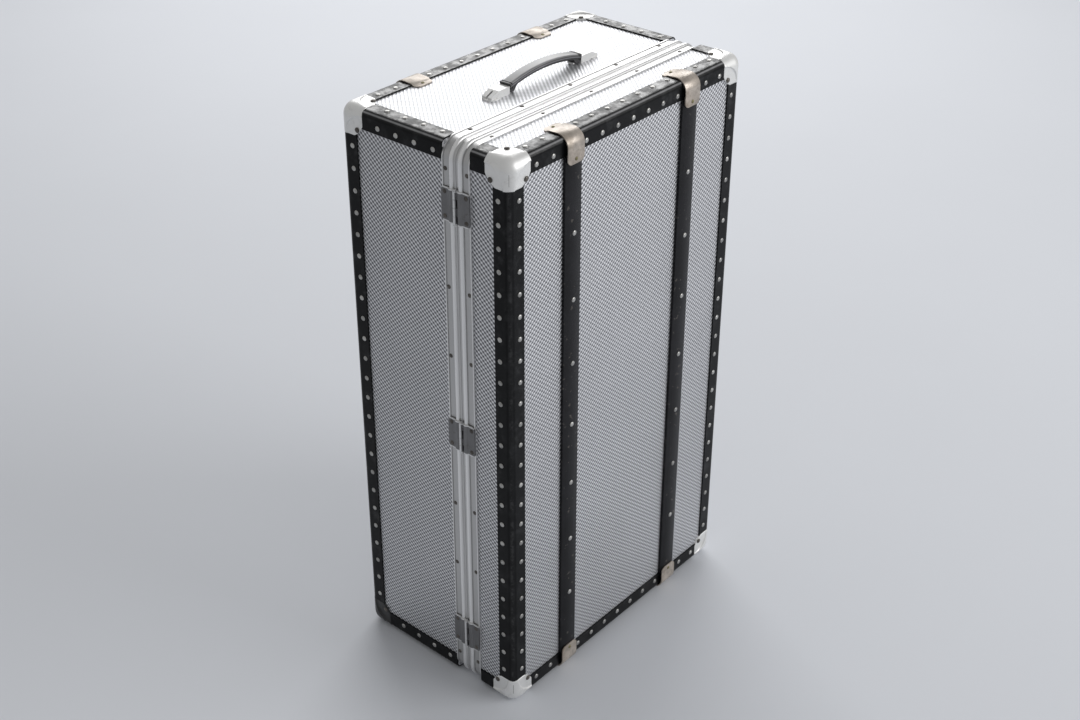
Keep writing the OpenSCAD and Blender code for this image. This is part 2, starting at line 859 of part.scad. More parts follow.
// Cross-section of the grip at the top of its arc: X is the radius, Y the width
module grip_section() {
    w = housing_w + 1;
    crown = 3;
    crown_r = (w*w/4 + crown*crown)/(2*crown);
    round = 2;
    intersection() {
        translate([grip_arc - crown_r, 0]) circle(crown_r, $fn = 120);
        translate([grip_arc - grip_t, -w/2]) square([grip_t, w]);
    }
    translate([grip_arc - grip_t - round/2, round - w/2]) square([round, w - 2*round]);
}

// Arched grip whose two feet come down beside the housings
module grip_solid() {
    w = housing_w + 1;
    span = 2*asin(grip_half/grip_arc);
    fillet = 9;
    foot_low = 1;
    intersection() {
        union() {
            translate([0, 0, grip_top - grip_arc]) rotate([90, 0, 0])
                rotate([0, 0, 90 - span/2]) rotate_extrude(angle = span, $fn = 200)
                    grip_section();
            for (end = [-1, 1])
                difference() {
                    translate([end > 0 ? grip_half - foot_l : -grip_half, 0.5 - w/2, foot_low])
                        cube([foot_l, w - 1, grip_end - foot_low - 2]);
                    translate([end*(grip_half - foot_l), w, foot_low + 1]) rotate([90, 0, 0])
                        cylinder(r = fillet, h = 2*w);
                }
        }
        translate([-grip_half, -w, 0]) cube([2*grip_half, 2*w, 2*grip_top]);
    }
}

module grip() {
    w = housing_w + 1;
    collar_l = 2.5;
    color("dimgray") placed() on_handle_line()
        difference() {
            union() {
                grip_solid();
                for (end = [-1, 1])
                    translate([end > 0 ? grip_half - collar_l : -grip_half, -w/2 - 0.6, grip_end - 4])
                        cube([collar_l, w + 1.2, 4.4]);
            }
            tongue_sockets();
        }
}

// Strap ends that leave the grip through its feet and reach into the housings
module tongue(clear) {
    end_x = housing_in + housing_wall + side_gap + head_l;
    translate([grip_half - 12 - clear, -window_w/2 + side_gap - clear, tongue_rest + 0.8 - clear])
        cube([end_x - grip_half + 12, window_w - 2*side_gap + 2*clear, tongue_strap_t + 2*clear]);
    translate([housing_in + housing_wall + side_gap, -head_w/2, tongue_rest + 0.8])
        cube([head_l, head_w, tongue_strap_t]);
}

module tongue_sockets() {
    for (end = [0, 1])
        mirror([end, 0, 0])
            intersection() {
                tongue(0);
                translate([0, -housing_w, 0]) cube([grip_half, 2*housing_w, housing_h]);
            }
}

module grip_tongues() {
    color("silver") placed() on_handle_line()
        for (end = [0, 1])
            mirror([end, 0, 0]) tongue(0);
}

// Locks

// Puts a shape drawn with X as the level and Y as the way from the parting line to the
// back onto the lock side, at the height of one lock
module on_lock_side(sz) {
    placed() translate([hw, split_y, z_mid + sz*lock_z]) children();
}

module lock_body() {
    r = 5;
    rise = lock_stand - panel_out - seat_gap;
    difference() {
        translate([panel_out + seat_gap, lock_y, 0]) rotate([90, 0, 90])
            linear_extrude(rise) {
                translate([r, -lock_h/2]) square([lock_w - 2*r, lock_h]);
                translate([0, r - lock_h/2]) square([lock_w, lock_h - 2*r]);
                for (y = [r, lock_w - r], z = [r - lock_h/2, lock_h/2 - r])
                    translate([y, z]) circle(r);
            }
        translate([lock_stand - hook_d - 1.5, hook_y - 1, -hook_w/2 - 1])
            cube([hook_d + 3, hook_t + 2, hook_w + 2]);
        translate([slide_floor, slide_y - side_gap, -slide_w/2 - side_gap])
            cube([3, slide_l + slide_travel + 2*side_gap, slide_w + 2*side_gap]);
    }
}

module lock_bodies() {
    color("silver")
        for (sz = [-1, 1])
            on_lock_side(sz) lock_body();
}

// Thumb slide with a ribbed top, in the recess of its lock body
module lock_slide(sz) {
    ribs = 3;
    color("gainsboro") on_lock_side(sz) {
        translate([slide_floor + seat_gap*2, slide_y, -slide_w/2]) cube([2.4, slide_l, slide_w]);
        for (i = [0:ribs - 1])
            translate([slide_floor + 2, slide_y + 1 + i*(slide_l - 3)/(ribs - 1), -slide_w/2])
                cube([1.4, 1, slide_w]);
    }
}

// Plates on the lid that carry the hasps, with their outer barrels and their pins
module hasp_plate() {
    length = 26;
    barrel_l = (hasp_plate_w + 10 - hasp_w)/2 + 2;
    total = hasp_w + 2*barrel_l + 2*side_gap;
    translate([panel_out + seat_gap, lock_axis_y - length, -total/2])
        cube([rim_t, length - 1, total]);
    for (end = [0, 1])
        mirror([0, 0, end])
            translate([0, 0, hasp_w/2 + side_gap]) {
                translate([lock_axis_r, lock_axis_y, 0]) cylinder(r = hasp_barrel_r, h = barrel_l);
                translate([panel_out + seat_gap, lock_axis_y - hasp_barrel_r, 0])
                    cube([lock_axis_r - panel_out, hasp_barrel_r, barrel_l]);
            }
    translate([lock_axis_r, lock_axis_y, -total/2]) cylinder(r = hasp_pin_r, h = total);
}

module hasp_plates() {
    color("silver")
        for (sz = [-1, 1])
            on_lock_side(sz) hasp_plate();
}

// Hasp in its closed place: a barrel, an arm that steps over the beads, and a hook
module hasp_closed() {
    arm_start = lock_axis_y;
    r = 6;
    difference() {
        union() {
            translate([lock_axis_r, lock_axis_y, -hasp_w/2]) cylinder(r = hasp_barrel_r, h = hasp_w);
            translate([lock_axis_r, lock_axis_y, -hasp_w/2])
                cube([hasp_low + hasp_t - lock_axis_r, hasp_barrel_r, hasp_w]);
            translate([hasp_low, arm_start, 0]) rotate([90, 0, 90]) linear_extrude(hasp_t) {
                translate([0, -hasp_w/2]) square([hasp_end - arm_start - r, hasp_w]);
                translate([0, r - hasp_w/2]) square([hasp_end - arm_start, hasp_w - 2*r]);
                for (z = [r - hasp_w/2, hasp_w/2 - r])
                    translate([hasp_end - arm_start - r, z]) circle(r);
            }
        }
        translate([lock_axis_r, lock_axis_y, -hasp_w]) cylinder(r = hasp_pin_r + run_gap, h = 2*hasp_w);
    }
    translate([lock_stand - hook_d, hook_y, -hook_w/2])
        cube([hasp_low + 0.5 - lock_stand + hook_d, hook_t, hook_w]);
}

// Hasp where it rests, sprung off its lock by a few degrees
module hasp(sz) {
    color("gainsboro") on_lock_side(sz)
        translate([lock_axis_r, lock_axis_y, 0]) rotate([0, 0, -hasp_rest])
            translate([-lock_axis_r, -lock_axis_y, 0]) hasp_closed();
}

// Sub-parts

module base_back_panel() { color("lightgray") placed() face_panel(1); }
module base_top_panel() { color("lightgray") placed() level_panel(1, 1); }
module base_bottom_panel() { color("lightgray") placed() level_panel(1, -1); }
module base_hinge_panel() { color("lightgray") placed() upright_panel(1, -1); }
module base_lock_panel() { color("lightgray") placed() upright_panel(1, 1); }
module base_lining() { color("slategray") placed() lining(1); }
module lid_front_panel() { color("lightgray") placed() face_panel(-1); }
module lid_top_panel() { color("lightgray") placed() level_panel(-1, 1); }
module lid_bottom_panel() { color("lightgray") placed() level_panel(-1, -1); }
module lid_hinge_panel() { color("lightgray") placed() upright_panel(-1, -1); }
module lid_lock_panel() { color("lightgray") placed() upright_panel(-1, 1); }
module lid_lining() { color("slategray") placed() lining(-1); }

base_back_panel();
base_top_panel();
base_bottom_panel();
base_hinge_panel();
base_lock_panel();
base_lining();
base_rim();
upright_edge(-1, 1);  // back_edge_hinge
upright_edge(1, 1);  // back_edge_lock
width_edge(1, 1);  // back_edge_top
width_edge(1, -1);  // back_edge_bottom
corner_edges(1);  // base_corner_edges
placed_cap(-1, 1, 1, "silver");  // base_cap_top_hinge
placed_cap(1, 1, 1, "silver");  // base_cap_top_lock
placed_cap(-1, 1, -1, "black");  // base_cap_bottom_hinge
placed_cap(1, 1, -1, "black");  // base_cap_bottom_lock
batten(-1, 1);  // base_batten_hinge
batten(1, 1);  // base_batten_lock
clips(1);  // base_clips
half_rivets(1);  // base_edge_rivets
rim_rivets(1);  // base_rim_rivets
hinge_leaf(1, hinge_z);  // base_leaf_top
hinge_leaf(1, 0);  // base_leaf_middle
hinge_leaf(1, -hinge_z);  // base_leaf_bottom
hinge_pins();
handle_housings();
grip();
grip_tongues();
lock_bodies();
lock_slide(1);  // lock_slide_top
lock_slide(-1);  // lock_slide_bottom
lid_front_panel();
lid_top_panel();
lid_bottom_panel();
lid_hinge_panel();
lid_lock_panel();
lid_lining();
lid_rim();
upright_edge(-1, -1);  // front_edge_hinge
upright_edge(1, -1);  // front_edge_lock
width_edge(-1, 1);  // front_edge_top
width_edge(-1, -1);  // front_edge_bottom
corner_edges(-1);  // lid_corner_edges
placed_cap(-1, -1, 1, "silver");  // lid_cap_top_hinge
placed_cap(1, -1, 1, "silver");  // lid_cap_top_lock
placed_cap(-1, -1, -1, "silver");  // lid_cap_bottom_hinge
placed_cap(1, -1, -1, "silver");  // lid_cap_bottom_lock
batten(-1, -1);  // lid_batten_hinge
batten(1, -1);  // lid_batten_lock
clips(-1);  // lid_clips
half_rivets(-1);  // lid_edge_rivets
rim_rivets(-1);  // lid_rim_rivets
hinge_leaf(-1, hinge_z);  // lid_leaf_top
hinge_leaf(-1, 0);  // lid_leaf_middle
hinge_leaf(-1, -hinge_z);  // lid_leaf_bottom
hasp_plates();
hasp(1);  // hasp_top
hasp(-1);  // hasp_bottom
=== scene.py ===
from math import atan2, cos, pi, radians, sin

import bmesh
import bpy
from bpy.props import FloatProperty, FloatVectorProperty, PointerProperty
from bpy.types import Operator, Panel, PropertyGroup
from mathutils import Color, Matrix, Vector


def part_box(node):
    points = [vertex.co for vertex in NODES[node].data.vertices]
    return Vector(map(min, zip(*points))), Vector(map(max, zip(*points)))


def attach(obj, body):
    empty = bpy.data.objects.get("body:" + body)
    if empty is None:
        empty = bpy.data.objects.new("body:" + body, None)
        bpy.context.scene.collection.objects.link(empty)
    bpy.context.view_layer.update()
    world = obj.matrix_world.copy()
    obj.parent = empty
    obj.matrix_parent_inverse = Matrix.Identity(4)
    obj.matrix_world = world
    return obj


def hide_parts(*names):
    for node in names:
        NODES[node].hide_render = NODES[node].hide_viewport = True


bl_info = {
    "name": "Trunk Suitcase",
    "version": (1, 0, 0),
    "blender": (4, 5, 0),
    "location": "3D View > Sidebar > Suitcase",
    "description": "Dresses a standing trunk suitcase and sets up its studio",
    "category": "Object",
}

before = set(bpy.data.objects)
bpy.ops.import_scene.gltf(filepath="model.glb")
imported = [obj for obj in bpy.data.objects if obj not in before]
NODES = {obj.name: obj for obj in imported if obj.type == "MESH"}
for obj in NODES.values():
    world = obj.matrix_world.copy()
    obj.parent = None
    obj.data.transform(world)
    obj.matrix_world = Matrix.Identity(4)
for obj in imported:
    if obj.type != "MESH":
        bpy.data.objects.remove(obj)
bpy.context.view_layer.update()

# The case over its plywood, measured on the loaded pieces, in metres
FRONT_LOW, FRONT_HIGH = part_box("lid_front_panel")
BACK_LOW, BACK_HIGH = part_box("base_back_panel")
MIDDLE = (FRONT_LOW + BACK_HIGH) / 2
HALF_W = (FRONT_HIGH.x - FRONT_LOW.x) / 2
HALF_D = (BACK_HIGH.y - FRONT_LOW.y) / 2
HALF_H = (FRONT_HIGH.z - FRONT_LOW.z) / 2
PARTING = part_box("hinge_pins")[0].y / 2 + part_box("hinge_pins")[1].y / 2

UNDER_SHEET = 0.0042  # Depth below the fibre's face at which a pressed piece is out of sight
CAP_ROUND = 1.16  # Radius of a cap's outline over its reach along the edges
CAP_ROOM = 0.036  # Rivets nearer than this to a corner of the case hold a cap
STRAP_HEAD_MOST = 0.0052  # Heads up to this width belong to a strap or a batten


# ---- Shader maths


class Wire:
    """A number that varies over a surface; arithmetic on it adds Math nodes."""

    def __init__(self, look, socket):
        self.look = look
        self.socket = socket

    def __add__(self, other):
        return self.look.maths("ADD", self, other)

    __radd__ = __add__

    def __sub__(self, other):
        return self.look.maths("SUBTRACT", self, other)

    def __rsub__(self, other):
        return self.look.maths("SUBTRACT", other, self)

    def __mul__(self, other):
        return self.look.maths("MULTIPLY", self, other)

    __rmul__ = __mul__

    def __abs__(self):
        return self.look.maths("ABSOLUTE", self)


class Look:
    """One material while it is being wired, with its Principled shader."""

    def __init__(self, name, **constants):
        self.material = bpy.data.materials.new(name)
        self.material.use_nodes = True
        self.tree = self.material.node_tree
        self.tree.nodes.clear()
        output = self.tree.nodes.new("ShaderNodeOutputMaterial")
        self.shader = self.tree.nodes.new("ShaderNodeBsdfPrincipled")
        self.tree.links.new(self.shader.outputs[0], output.inputs["Surface"])
        for socket, value in constants.items():
            self.set(socket.replace("_", " "), value)
        self.place = self.node("ShaderNodeTexCoord", result="Object")
        split = self.node("ShaderNodeSeparateXYZ", {0: self.place}).socket.node
        self.x, self.y, self.z = (Wire(self, socket) for socket in split.outputs)

    def feed(self, socket, value):
        if isinstance(value, Wire):
            self.tree.links.new(value.socket, socket)
        elif isinstance(value, (tuple, list, Color, Vector)) and socket.type == "RGBA":
            socket.default_value = (*value[:3], 1.0)
        else:
            socket.default_value = value

    def set(self, socket, value):
        """Gives one of the shader's own sockets a constant or a wire."""
        self.feed(self.shader.inputs[socket], value)

    def node(self, kind, inputs=None, result=0, **settings):
        """Adds any node: its settings first, then the values or wires of its sockets."""
        made = self.tree.nodes.new(kind)
        for name, value in settings.items():
            setattr(made, name, value)
        for key, value in (inputs or {}).items():
            self.feed(made.inputs[key], value)
        return Wire(self, made.outputs[result])

    def maths(self, operation, *values):
        return self.node("ShaderNodeMath", dict(enumerate(values)), operation=operation)

    def step(self, value, low, high):
        """0 below low and 1 above high, with a soft change between."""
        return self.node("ShaderNodeMapRange", {0: value, 1: low, 2: high, 3: 0.0, 4: 1.0},
                         interpolation_type="SMOOTHSTEP")

    def band(self, value, middle, half, soft):
        """1 within half of the middle, fading out over soft."""
        return 1 - self.step(abs(value - middle), half, half + soft)

    def mix(self, factor, a, b):
        return self.node("ShaderNodeMix", {0: factor, 6: a, 7: b}, result=2, data_type="RGBA")

    def noise(self, scale, detail=3.0, stretch=(1, 1, 1), roughness=0.55, shift=(0, 0, 0)):
        """Cloudy noise over the piece; scale is in features per metre."""
        moved = self.node("ShaderNodeMapping", {0: self.place, 1: shift, 3: stretch})
        return self.node("ShaderNodeTexNoise",
                         {"Vector": moved, "Scale": scale, "Detail": detail,
                          "Roughness": roughness}, result=0)

    def bump(self, height, distance, strength):
        return self.node("ShaderNodeBump",
                         {"Height": height, "Distance": distance, "Strength": strength})

    def finish(self, colour=None, roughness=None, metallic=None, normal=None):
        for socket, value in (("Base Color", colour), ("Roughness", roughness),
                              ("Metallic", metallic), ("Normal", normal)):
            if value is not None:
                self.set(socket, value)
        return self.material


# ---- Settings that a user would change


def tint(name, words, rgb):
    return FloatVectorProperty(name=name, description=words, subtype="COLOR", size=3,
                               min=0.0, max=1.0, default=rgb)


def share(name, words, value):
    return FloatProperty(name=name, description=words, min=0.0, max=1.0, default=value)


def length(name, words, value):
    return FloatProperty(name=name, description=words, min=0.0, unit="LENGTH", default=value)


class SuitcaseFinish(PropertyGroup):
    """Colours and roughness of the case's finishes."""

    sheet_crest: tint("Sheet crests", "Raised diamonds of the embossed sheet",
                      (0.84, 0.845, 0.875))
    # The valley colour is painted shade in the grooves of the sheet
    sheet_valley: tint("Sheet valleys", "Grooves of the embossed sheet", (0.19, 0.195, 0.21))
    sheet_cell_w: length("Cell width", "Width of one diamond of the sheet", 0.0072)
    sheet_cell_h: length("Cell height", "Height of one diamond of the sheet", 0.00625)
    sheet_slant: share("Slant", "Share of the diagonal along which the diamonds run on", 0.64)
    fibre_t: length("Fibre thickness", "How far the fibre stands out of the sheet", 0.002)
    cap_reach: length("Cap reach", "How far a cap reaches along the edges", 0.037)
    cap_stand: length("Ball stand", "How far the ball stands out of the fibre", 0.003)
    lobe_stand: length("Pad stand", "How far the flat pads stand out of the fibre", 0.0006)
    ball_r: length("Ball radius", "Radius of the ball and of its three edges", 0.0173)
    pad_r: length("Pad radius", "Radius of the dished pad round each rivet", 0.0285)
    fibre: tint("Fibre", "Vulcanised fibre of the edges", (0.0065, 0.0068, 0.0075))
    cap: tint("Caps", "Nickelled corner caps", (0.84, 0.84, 0.83))
    black_cap: tint("Black caps", "Lacquered corner caps", (0.018, 0.018, 0.019))
    alloy: tint("Rim", "Drawn aluminium of the rim", (0.80, 0.80, 0.80))
    steel: tint("Hinges", "Stamped steel of the hinges", (0.20, 0.20, 0.205))
    rivet: tint("Rivets", "Nickelled rivets of the edges", (0.44, 0.435, 0.42))
    dark_rivet: tint("Dark rivets", "Dark-headed rivets of rim and caps", (0.11, 0.10, 0.09))
    strap_rivet: tint("Strap rivets", "Verdigris on the rivets of the straps", (0.22, 0.20, 0.11))
    rivet_grow: FloatProperty(name="Rivet size", description="Heads over the drawn ones",
                              min=0.5, max=1.4, default=1.16)
    rim_grow: FloatProperty(name="Rim rivet size", description="Rim heads over the drawn ones",
                            min=0.5, max=1.4, default=1.30)
    batten: tint("Battens", "Lacquered battens", (0.0085, 0.0085, 0.010))
    strap_w: length("Strap width", "Width of the straps over the battens", 0.030)
    strap_bow: length("Strap bow", "Inner radius of the straps' bend", 0.015)
    clip: tint("Clips", "Aged nickel of the straps", (0.50, 0.445, 0.39))
    clip_stain: tint("Clip stains", "Brown tarnish on the straps", (0.28, 0.22, 0.16))
    grip: tint("Grip", "Moulded handle grip", (0.020, 0.020, 0.022))
    nickel: tint("Fittings", "Nickel of housings and locks", (0.90, 0.90, 0.89))
    # The crown colour is a painted sheen, for the light the grip's top reflects
    crown: tint("Grip crown", "Painted sheen on the crown of the grip", (0.26, 0.26, 0.27))
    lining: tint("Lining", "Plain cloth of the lining", (0.20, 0.21, 0.225))
    thread: length("Thread", "Repeat of the lining's weave", 0.0013)


class SuitcaseStage(PropertyGroup):
    """Camera, lamps and floor."""

    lens: FloatProperty(name="Lens", description="Focal length", default=52.51, unit="CAMERA")
    yaw: FloatProperty(name="Yaw", description="Turn of the view from the back to the lock side",
                       subtype="ANGLE", default=radians(48.16))
    pitch: FloatProperty(name="Pitch", description="How far the camera looks down",
                         subtype="ANGLE", default=radians(29.497))
    roll: FloatProperty(name="Roll", description="Tilt of the camera", subtype="ANGLE",
                        default=radians(-0.467))
    eye: FloatVectorProperty(name="Eye", description="Place of the camera", size=3,
                             subtype="TRANSLATION", unit="LENGTH",
                             default=(-1.4104, -1.1978, 1.5260))
    shift_x: FloatProperty(name="Shift X", description="Sideways shift", default=0.02565)
    shift_y: FloatProperty(name="Shift Y", description="Upward shift", default=-0.05333)
    sky: FloatProperty(name="Sky", description="Strength of the even light", default=0.42)
    back_box: FloatProperty(name="Back softbox", description="Power of the softbox behind",
                            subtype="POWER", unit="POWER", default=84.0)
    front_box: FloatProperty(name="Front softbox", description="Power of the softbox in front",
                             subtype="POWER", unit="POWER", default=60.0)
    floor: tint("Floor", "Colour of the floor near the case", (0.66, 0.68, 0.72))


def finish():
    return bpy.context.scene.suitcase_finish


# ---- Helpers


def wear(names, material):
    """Puts a material on pieces of the case by their names."""
    for name in names:
        piece = NODES[name]
        if not piece.material_slots:
            piece.data.materials.append(material)
        for slot in piece.material_slots:
            slot.material = material


def named(*words):
    """Names of the case's pieces that contain every one of the words."""
    return [n for n in sorted(NODES) if all(w in n for w in words)]


def clear_selection():
    if bpy.context.mode != "OBJECT":
        bpy.ops.object.mode_set(mode="OBJECT")
    bpy.ops.object.select_all(action="DESELECT")


def select(*pieces):
    """Selects these pieces and no other; the first becomes the active one."""
    clear_selection()
    for piece in pieces:
        piece.select_set(True)
    bpy.context.view_layer.objects.active = pieces[0]


def join(pieces, name):
    """Joins pieces into the first of them and names it."""
    select(*pieces)
    bpy.ops.object.join()
    pieces[0].name = name
    return pieces[0]


def pick_verts(piece, test):
    """Selects the vertices whose place passes a test, in edit mode."""
    bpy.ops.mesh.select_mode(type="VERT")
    bpy.ops.mesh.select_all(action="DESELECT")
    shape = bmesh.from_edit_mesh(piece.data)
    for vertex in shape.verts:
        vertex.select_set(bool(test(vertex.co)))
    shape.select_flush_mode()
    bmesh.update_edit_mesh(piece.data)


def pick_edges(piece, test):
    """Selects the edges whose two ends pass a test, in edit mode."""
    bpy.ops.mesh.select_mode(type="EDGE")
    bpy.ops.mesh.select_all(action="DESELECT")
    shape = bmesh.from_edit_mesh(piece.data)
    for edge in shape.edges:
        edge.select_set(bool(test(edge.verts[0].co, edge.verts[1].co)))
    bmesh.update_edit_mesh(piece.data)


def apply_place(piece):
    """Moves the piece's place into its mesh, so that its object sits at the origin."""
    select(piece)
    bpy.ops.object.transform_apply(location=True, rotation=True, scale=True)


def add_modifier(piece, kind, **settings):
    """Adds a modifier with its settings and applies it."""
    select(piece)
    modifier = piece.modifiers.new(kind.title(), kind)
    for name, value in settings.items():
        setattr(modifier, name, value)
    bpy.ops.object.modifier_apply(modifier=modifier.name)


# ---- Finishes


def sheet_look(name, across, along, groove_light=0.0):
    """Embossed sheet: staggered rounded diamonds, their grooves painted dark as painted shade;
    the last argument lightens that painted shade per face, as painted light
    """
    f = finish()
    look = Look(name, Metallic=0.62, Specular_IOR_Level=0.5)
    a = getattr(look, across) - getattr(MIDDLE, across)
    b = getattr(look, along) - getattr(MIDDLE, along)
    turn_a, turn_b = a * (2 * pi / f.sheet_cell_w), b * (2 * pi / f.sheet_cell_h)
    wave = (look.maths("COSINE", turn_a - turn_b) * f.sheet_slant
            + look.maths("COSINE", turn_a + turn_b) * (1 - f.sheet_slant))
    crest = look.step(wave, -0.70, 0.70)
    cloud = look.noise(7.0, 4.0)
    grain = look.noise(420.0, 2.0)
    rub = look.step(look.noise(16.0, 5.0, roughness=0.7, shift=(3, 1, 2)), 0.55, 0.80)
    # The valleys take the dark colour, painted shade in the grooves, lightened or darkened per
    # face as painted light
    valley = Vector(f.sheet_valley).lerp(Vector(f.sheet_crest), groove_light)
    colour = look.mix(crest, valley, f.sheet_crest)
    dull = look.mix(rub * 0.25, colour, (0.60, 0.60, 0.61))
    shade = 0.90 + cloud * 0.16 + (grain - 0.5) * 0.10
    toned = look.node("ShaderNodeVectorMath", {0: dull, 1: look.node(
        "ShaderNodeCombineXYZ", {0: shade, 1: shade, 2: shade})}, operation="MULTIPLY")
    rough = 0.38 + cloud * 0.10 - crest * 0.08
    normal = look.bump(crest + grain * 0.06, 0.0007, 0.75)
    return look.finish(toned, rough, None, normal)


class SUITCASE_OT_panels(Operator):
    """Covers the plywood panels with embossed sheet, set out from the middle of each face"""

    bl_idname = "suitcase.panels"
    bl_label = "Panels"

    def execute(self, context):
        # Painted light: the side copy has darker painted shade in its grooves and the level copy
        # lighter, for how the light falls on each face
        upright = sheet_look("embossed sheet front", "x", "z")
        side = sheet_look("embossed sheet side", "y", "z", -0.09)
        level = sheet_look("embossed sheet level", "y", "x", 0.40)
        wear(["lid_front_panel", "base_back_panel"], upright)
        wear([h + s for h in ("lid_", "base_") for s in ("hinge_panel", "lock_panel")], side)
        wear([h + s for h in ("lid_", "base_") for s in ("top_panel", "bottom_panel")], level)
        return {"FINISHED"}


class SUITCASE_OT_lining(Operator):
    """Gives the lining its plain slate-grey woven cloth"""

    bl_idname = "suitcase.lining"
    bl_label = "Lining"

    def execute(self, context):
        look = Look("lining cloth", Sheen_Weight=0.25)
        fleck = look.noise(900.0, 2.0)
        cloud = look.noise(14.0, 5.0)
        turn = 2 * pi / finish().thread
        threads = [look.maths("SINE", axis * turn) for axis in (look.x, look.y, look.z)]
        weave = threads[0] * threads[2] + threads[1] * threads[2] + threads[0] * threads[1]
        grey = Vector(finish().lining)
        tone = weave * 0.12 + fleck * 0.5 + cloud * 0.4
        colour = look.mix(look.step(tone, 0.20, 0.70), grey * 0.78, grey * 1.15)
        normal = look.bump(weave * 0.4 + fleck, 0.0003, 0.6)
        wear(named("lining"), look.finish(colour, 0.82 + fleck * 0.1, None, normal))
        return {"FINISHED"}


class SUITCASE_OT_edges(Operator):
    """Gives the fibre edges their black, faintly grained and scuffed finish"""

    bl_idname = "suitcase.edges"
    bl_label = "Fibre edges"

    def execute(self, context):
        look = Look("black fibre", Specular_IOR_Level=0.09, Coat_Roughness=0.22)
        black = Vector(finish().fibre)
        p = abs(look.x - MIDDLE.x) - HALF_W
        q = abs(look.y - MIDDLE.y) - HALF_D
        r = abs(look.z - MIDDLE.z) - HALF_H
        near = look.maths("MAXIMUM", look.maths("MAXIMUM", look.maths("MINIMUM", p, q),
                                                look.maths("MINIMUM", q, r)),
                          look.maths("MINIMUM", p, r))
        scuff = look.noise(60.0, 6.0, roughness=0.75)
        fine = look.noise(700.0, 3.0)
        edge_wear_and_painted_highlight = look.step(near, -0.0035, -0.0005) * look.step(scuff, 0.46, 0.62)
        dust = look.step(look.noise(22.0, 5.0, shift=(5, 2, 7)), 0.50, 0.78)
        base = look.mix(dust * 0.5, black, black * 2.6)
        scuffed = look.mix(edge_wear_and_painted_highlight * 0.22, base, (0.13, 0.13, 0.135))
        # Painted highlight: a light line along the ridges round the top, broken up by the scuffs
        ridge_highlight = (look.step(near, -0.0018, -0.0005)
                 * look.step(look.z - MIDDLE.z, HALF_H - 0.0060, HALF_H - 0.0020))
        colour = look.mix(ridge_highlight * (0.22 + scuff * 0.60), scuffed, (0.48, 0.48, 0.49))
        rough = 0.25 + dust * 0.14 + fine * 0.10
        glint = look.step(look.noise(48.0, 5.0, roughness=0.7, shift=(2, 8, 3)), 0.50, 0.68)
        # The faces that look up are rubbed shiny in patches
        upper = look.step(look.z - MIDDLE.z, HALF_H + 0.0004, HALF_H + 0.0016)
        patch = look.step(look.noise(55.0, 6.0, roughness=0.8, shift=(7, 1, 4)), 0.45, 0.58)
        look.set("Coat Weight", glint * 0.30 + look.step(near, -0.0040, -0.0015) * 0.30 + 0.03
                 + upper * (patch * 0.66 + 0.04))
        normal = look.bump(fine + scuff * 0.6, 0.00018, 0.55)
        names = [n for n in named("edge") if "rivets" not in n]
        wear(names, look.finish(colour, rough, None, normal))
        return {"FINISHED"}


def cap_look(name, rgb, metallic, rough, scuffed):
    """Pressed cap with soft scuffs, and a slit down its upright edge"""
    look = Look(name, Metallic=metallic)
    p = abs(look.x - MIDDLE.x) - HALF_W
    q = abs(look.y - MIDDLE.y) - HALF_D
    t = HALF_H + finish().fibre_t - abs(look.z - MIDDLE.z)
    slit = (look.band(p - q, 0.0, 0.0002, 0.0003) * look.step(t, 0.015, 0.0155)
            * (1 - look.step(t, 0.0300, 0.0305)))
    scuff = look.step(look.noise(85.0, 6.0, roughness=0.72), 0.52, 0.74)
    streak = look.noise(160.0, 3.0, stretch=(1, 1, 0.15))
    cloud = look.noise(30.0, 3.0, shift=(1, 4, 2))
    base = look.mix(cloud, Vector(rgb) * 0.90, Vector(rgb) * 1.05)
    marked = look.mix(scuff * scuffed, base, (0.42, 0.41, 0.39) if metallic > 0.3
                      else (0.12, 0.12, 0.12))
    colour = look.mix(slit * 0.85, marked, (0.03, 0.03, 0.03))
    normal = look.bump(streak * 0.4 + scuff * 0.3 - slit, 0.0003, 0.5)
    return look.finish(colour, rough + scuff * 0.18 + streak * 0.06, None, normal)


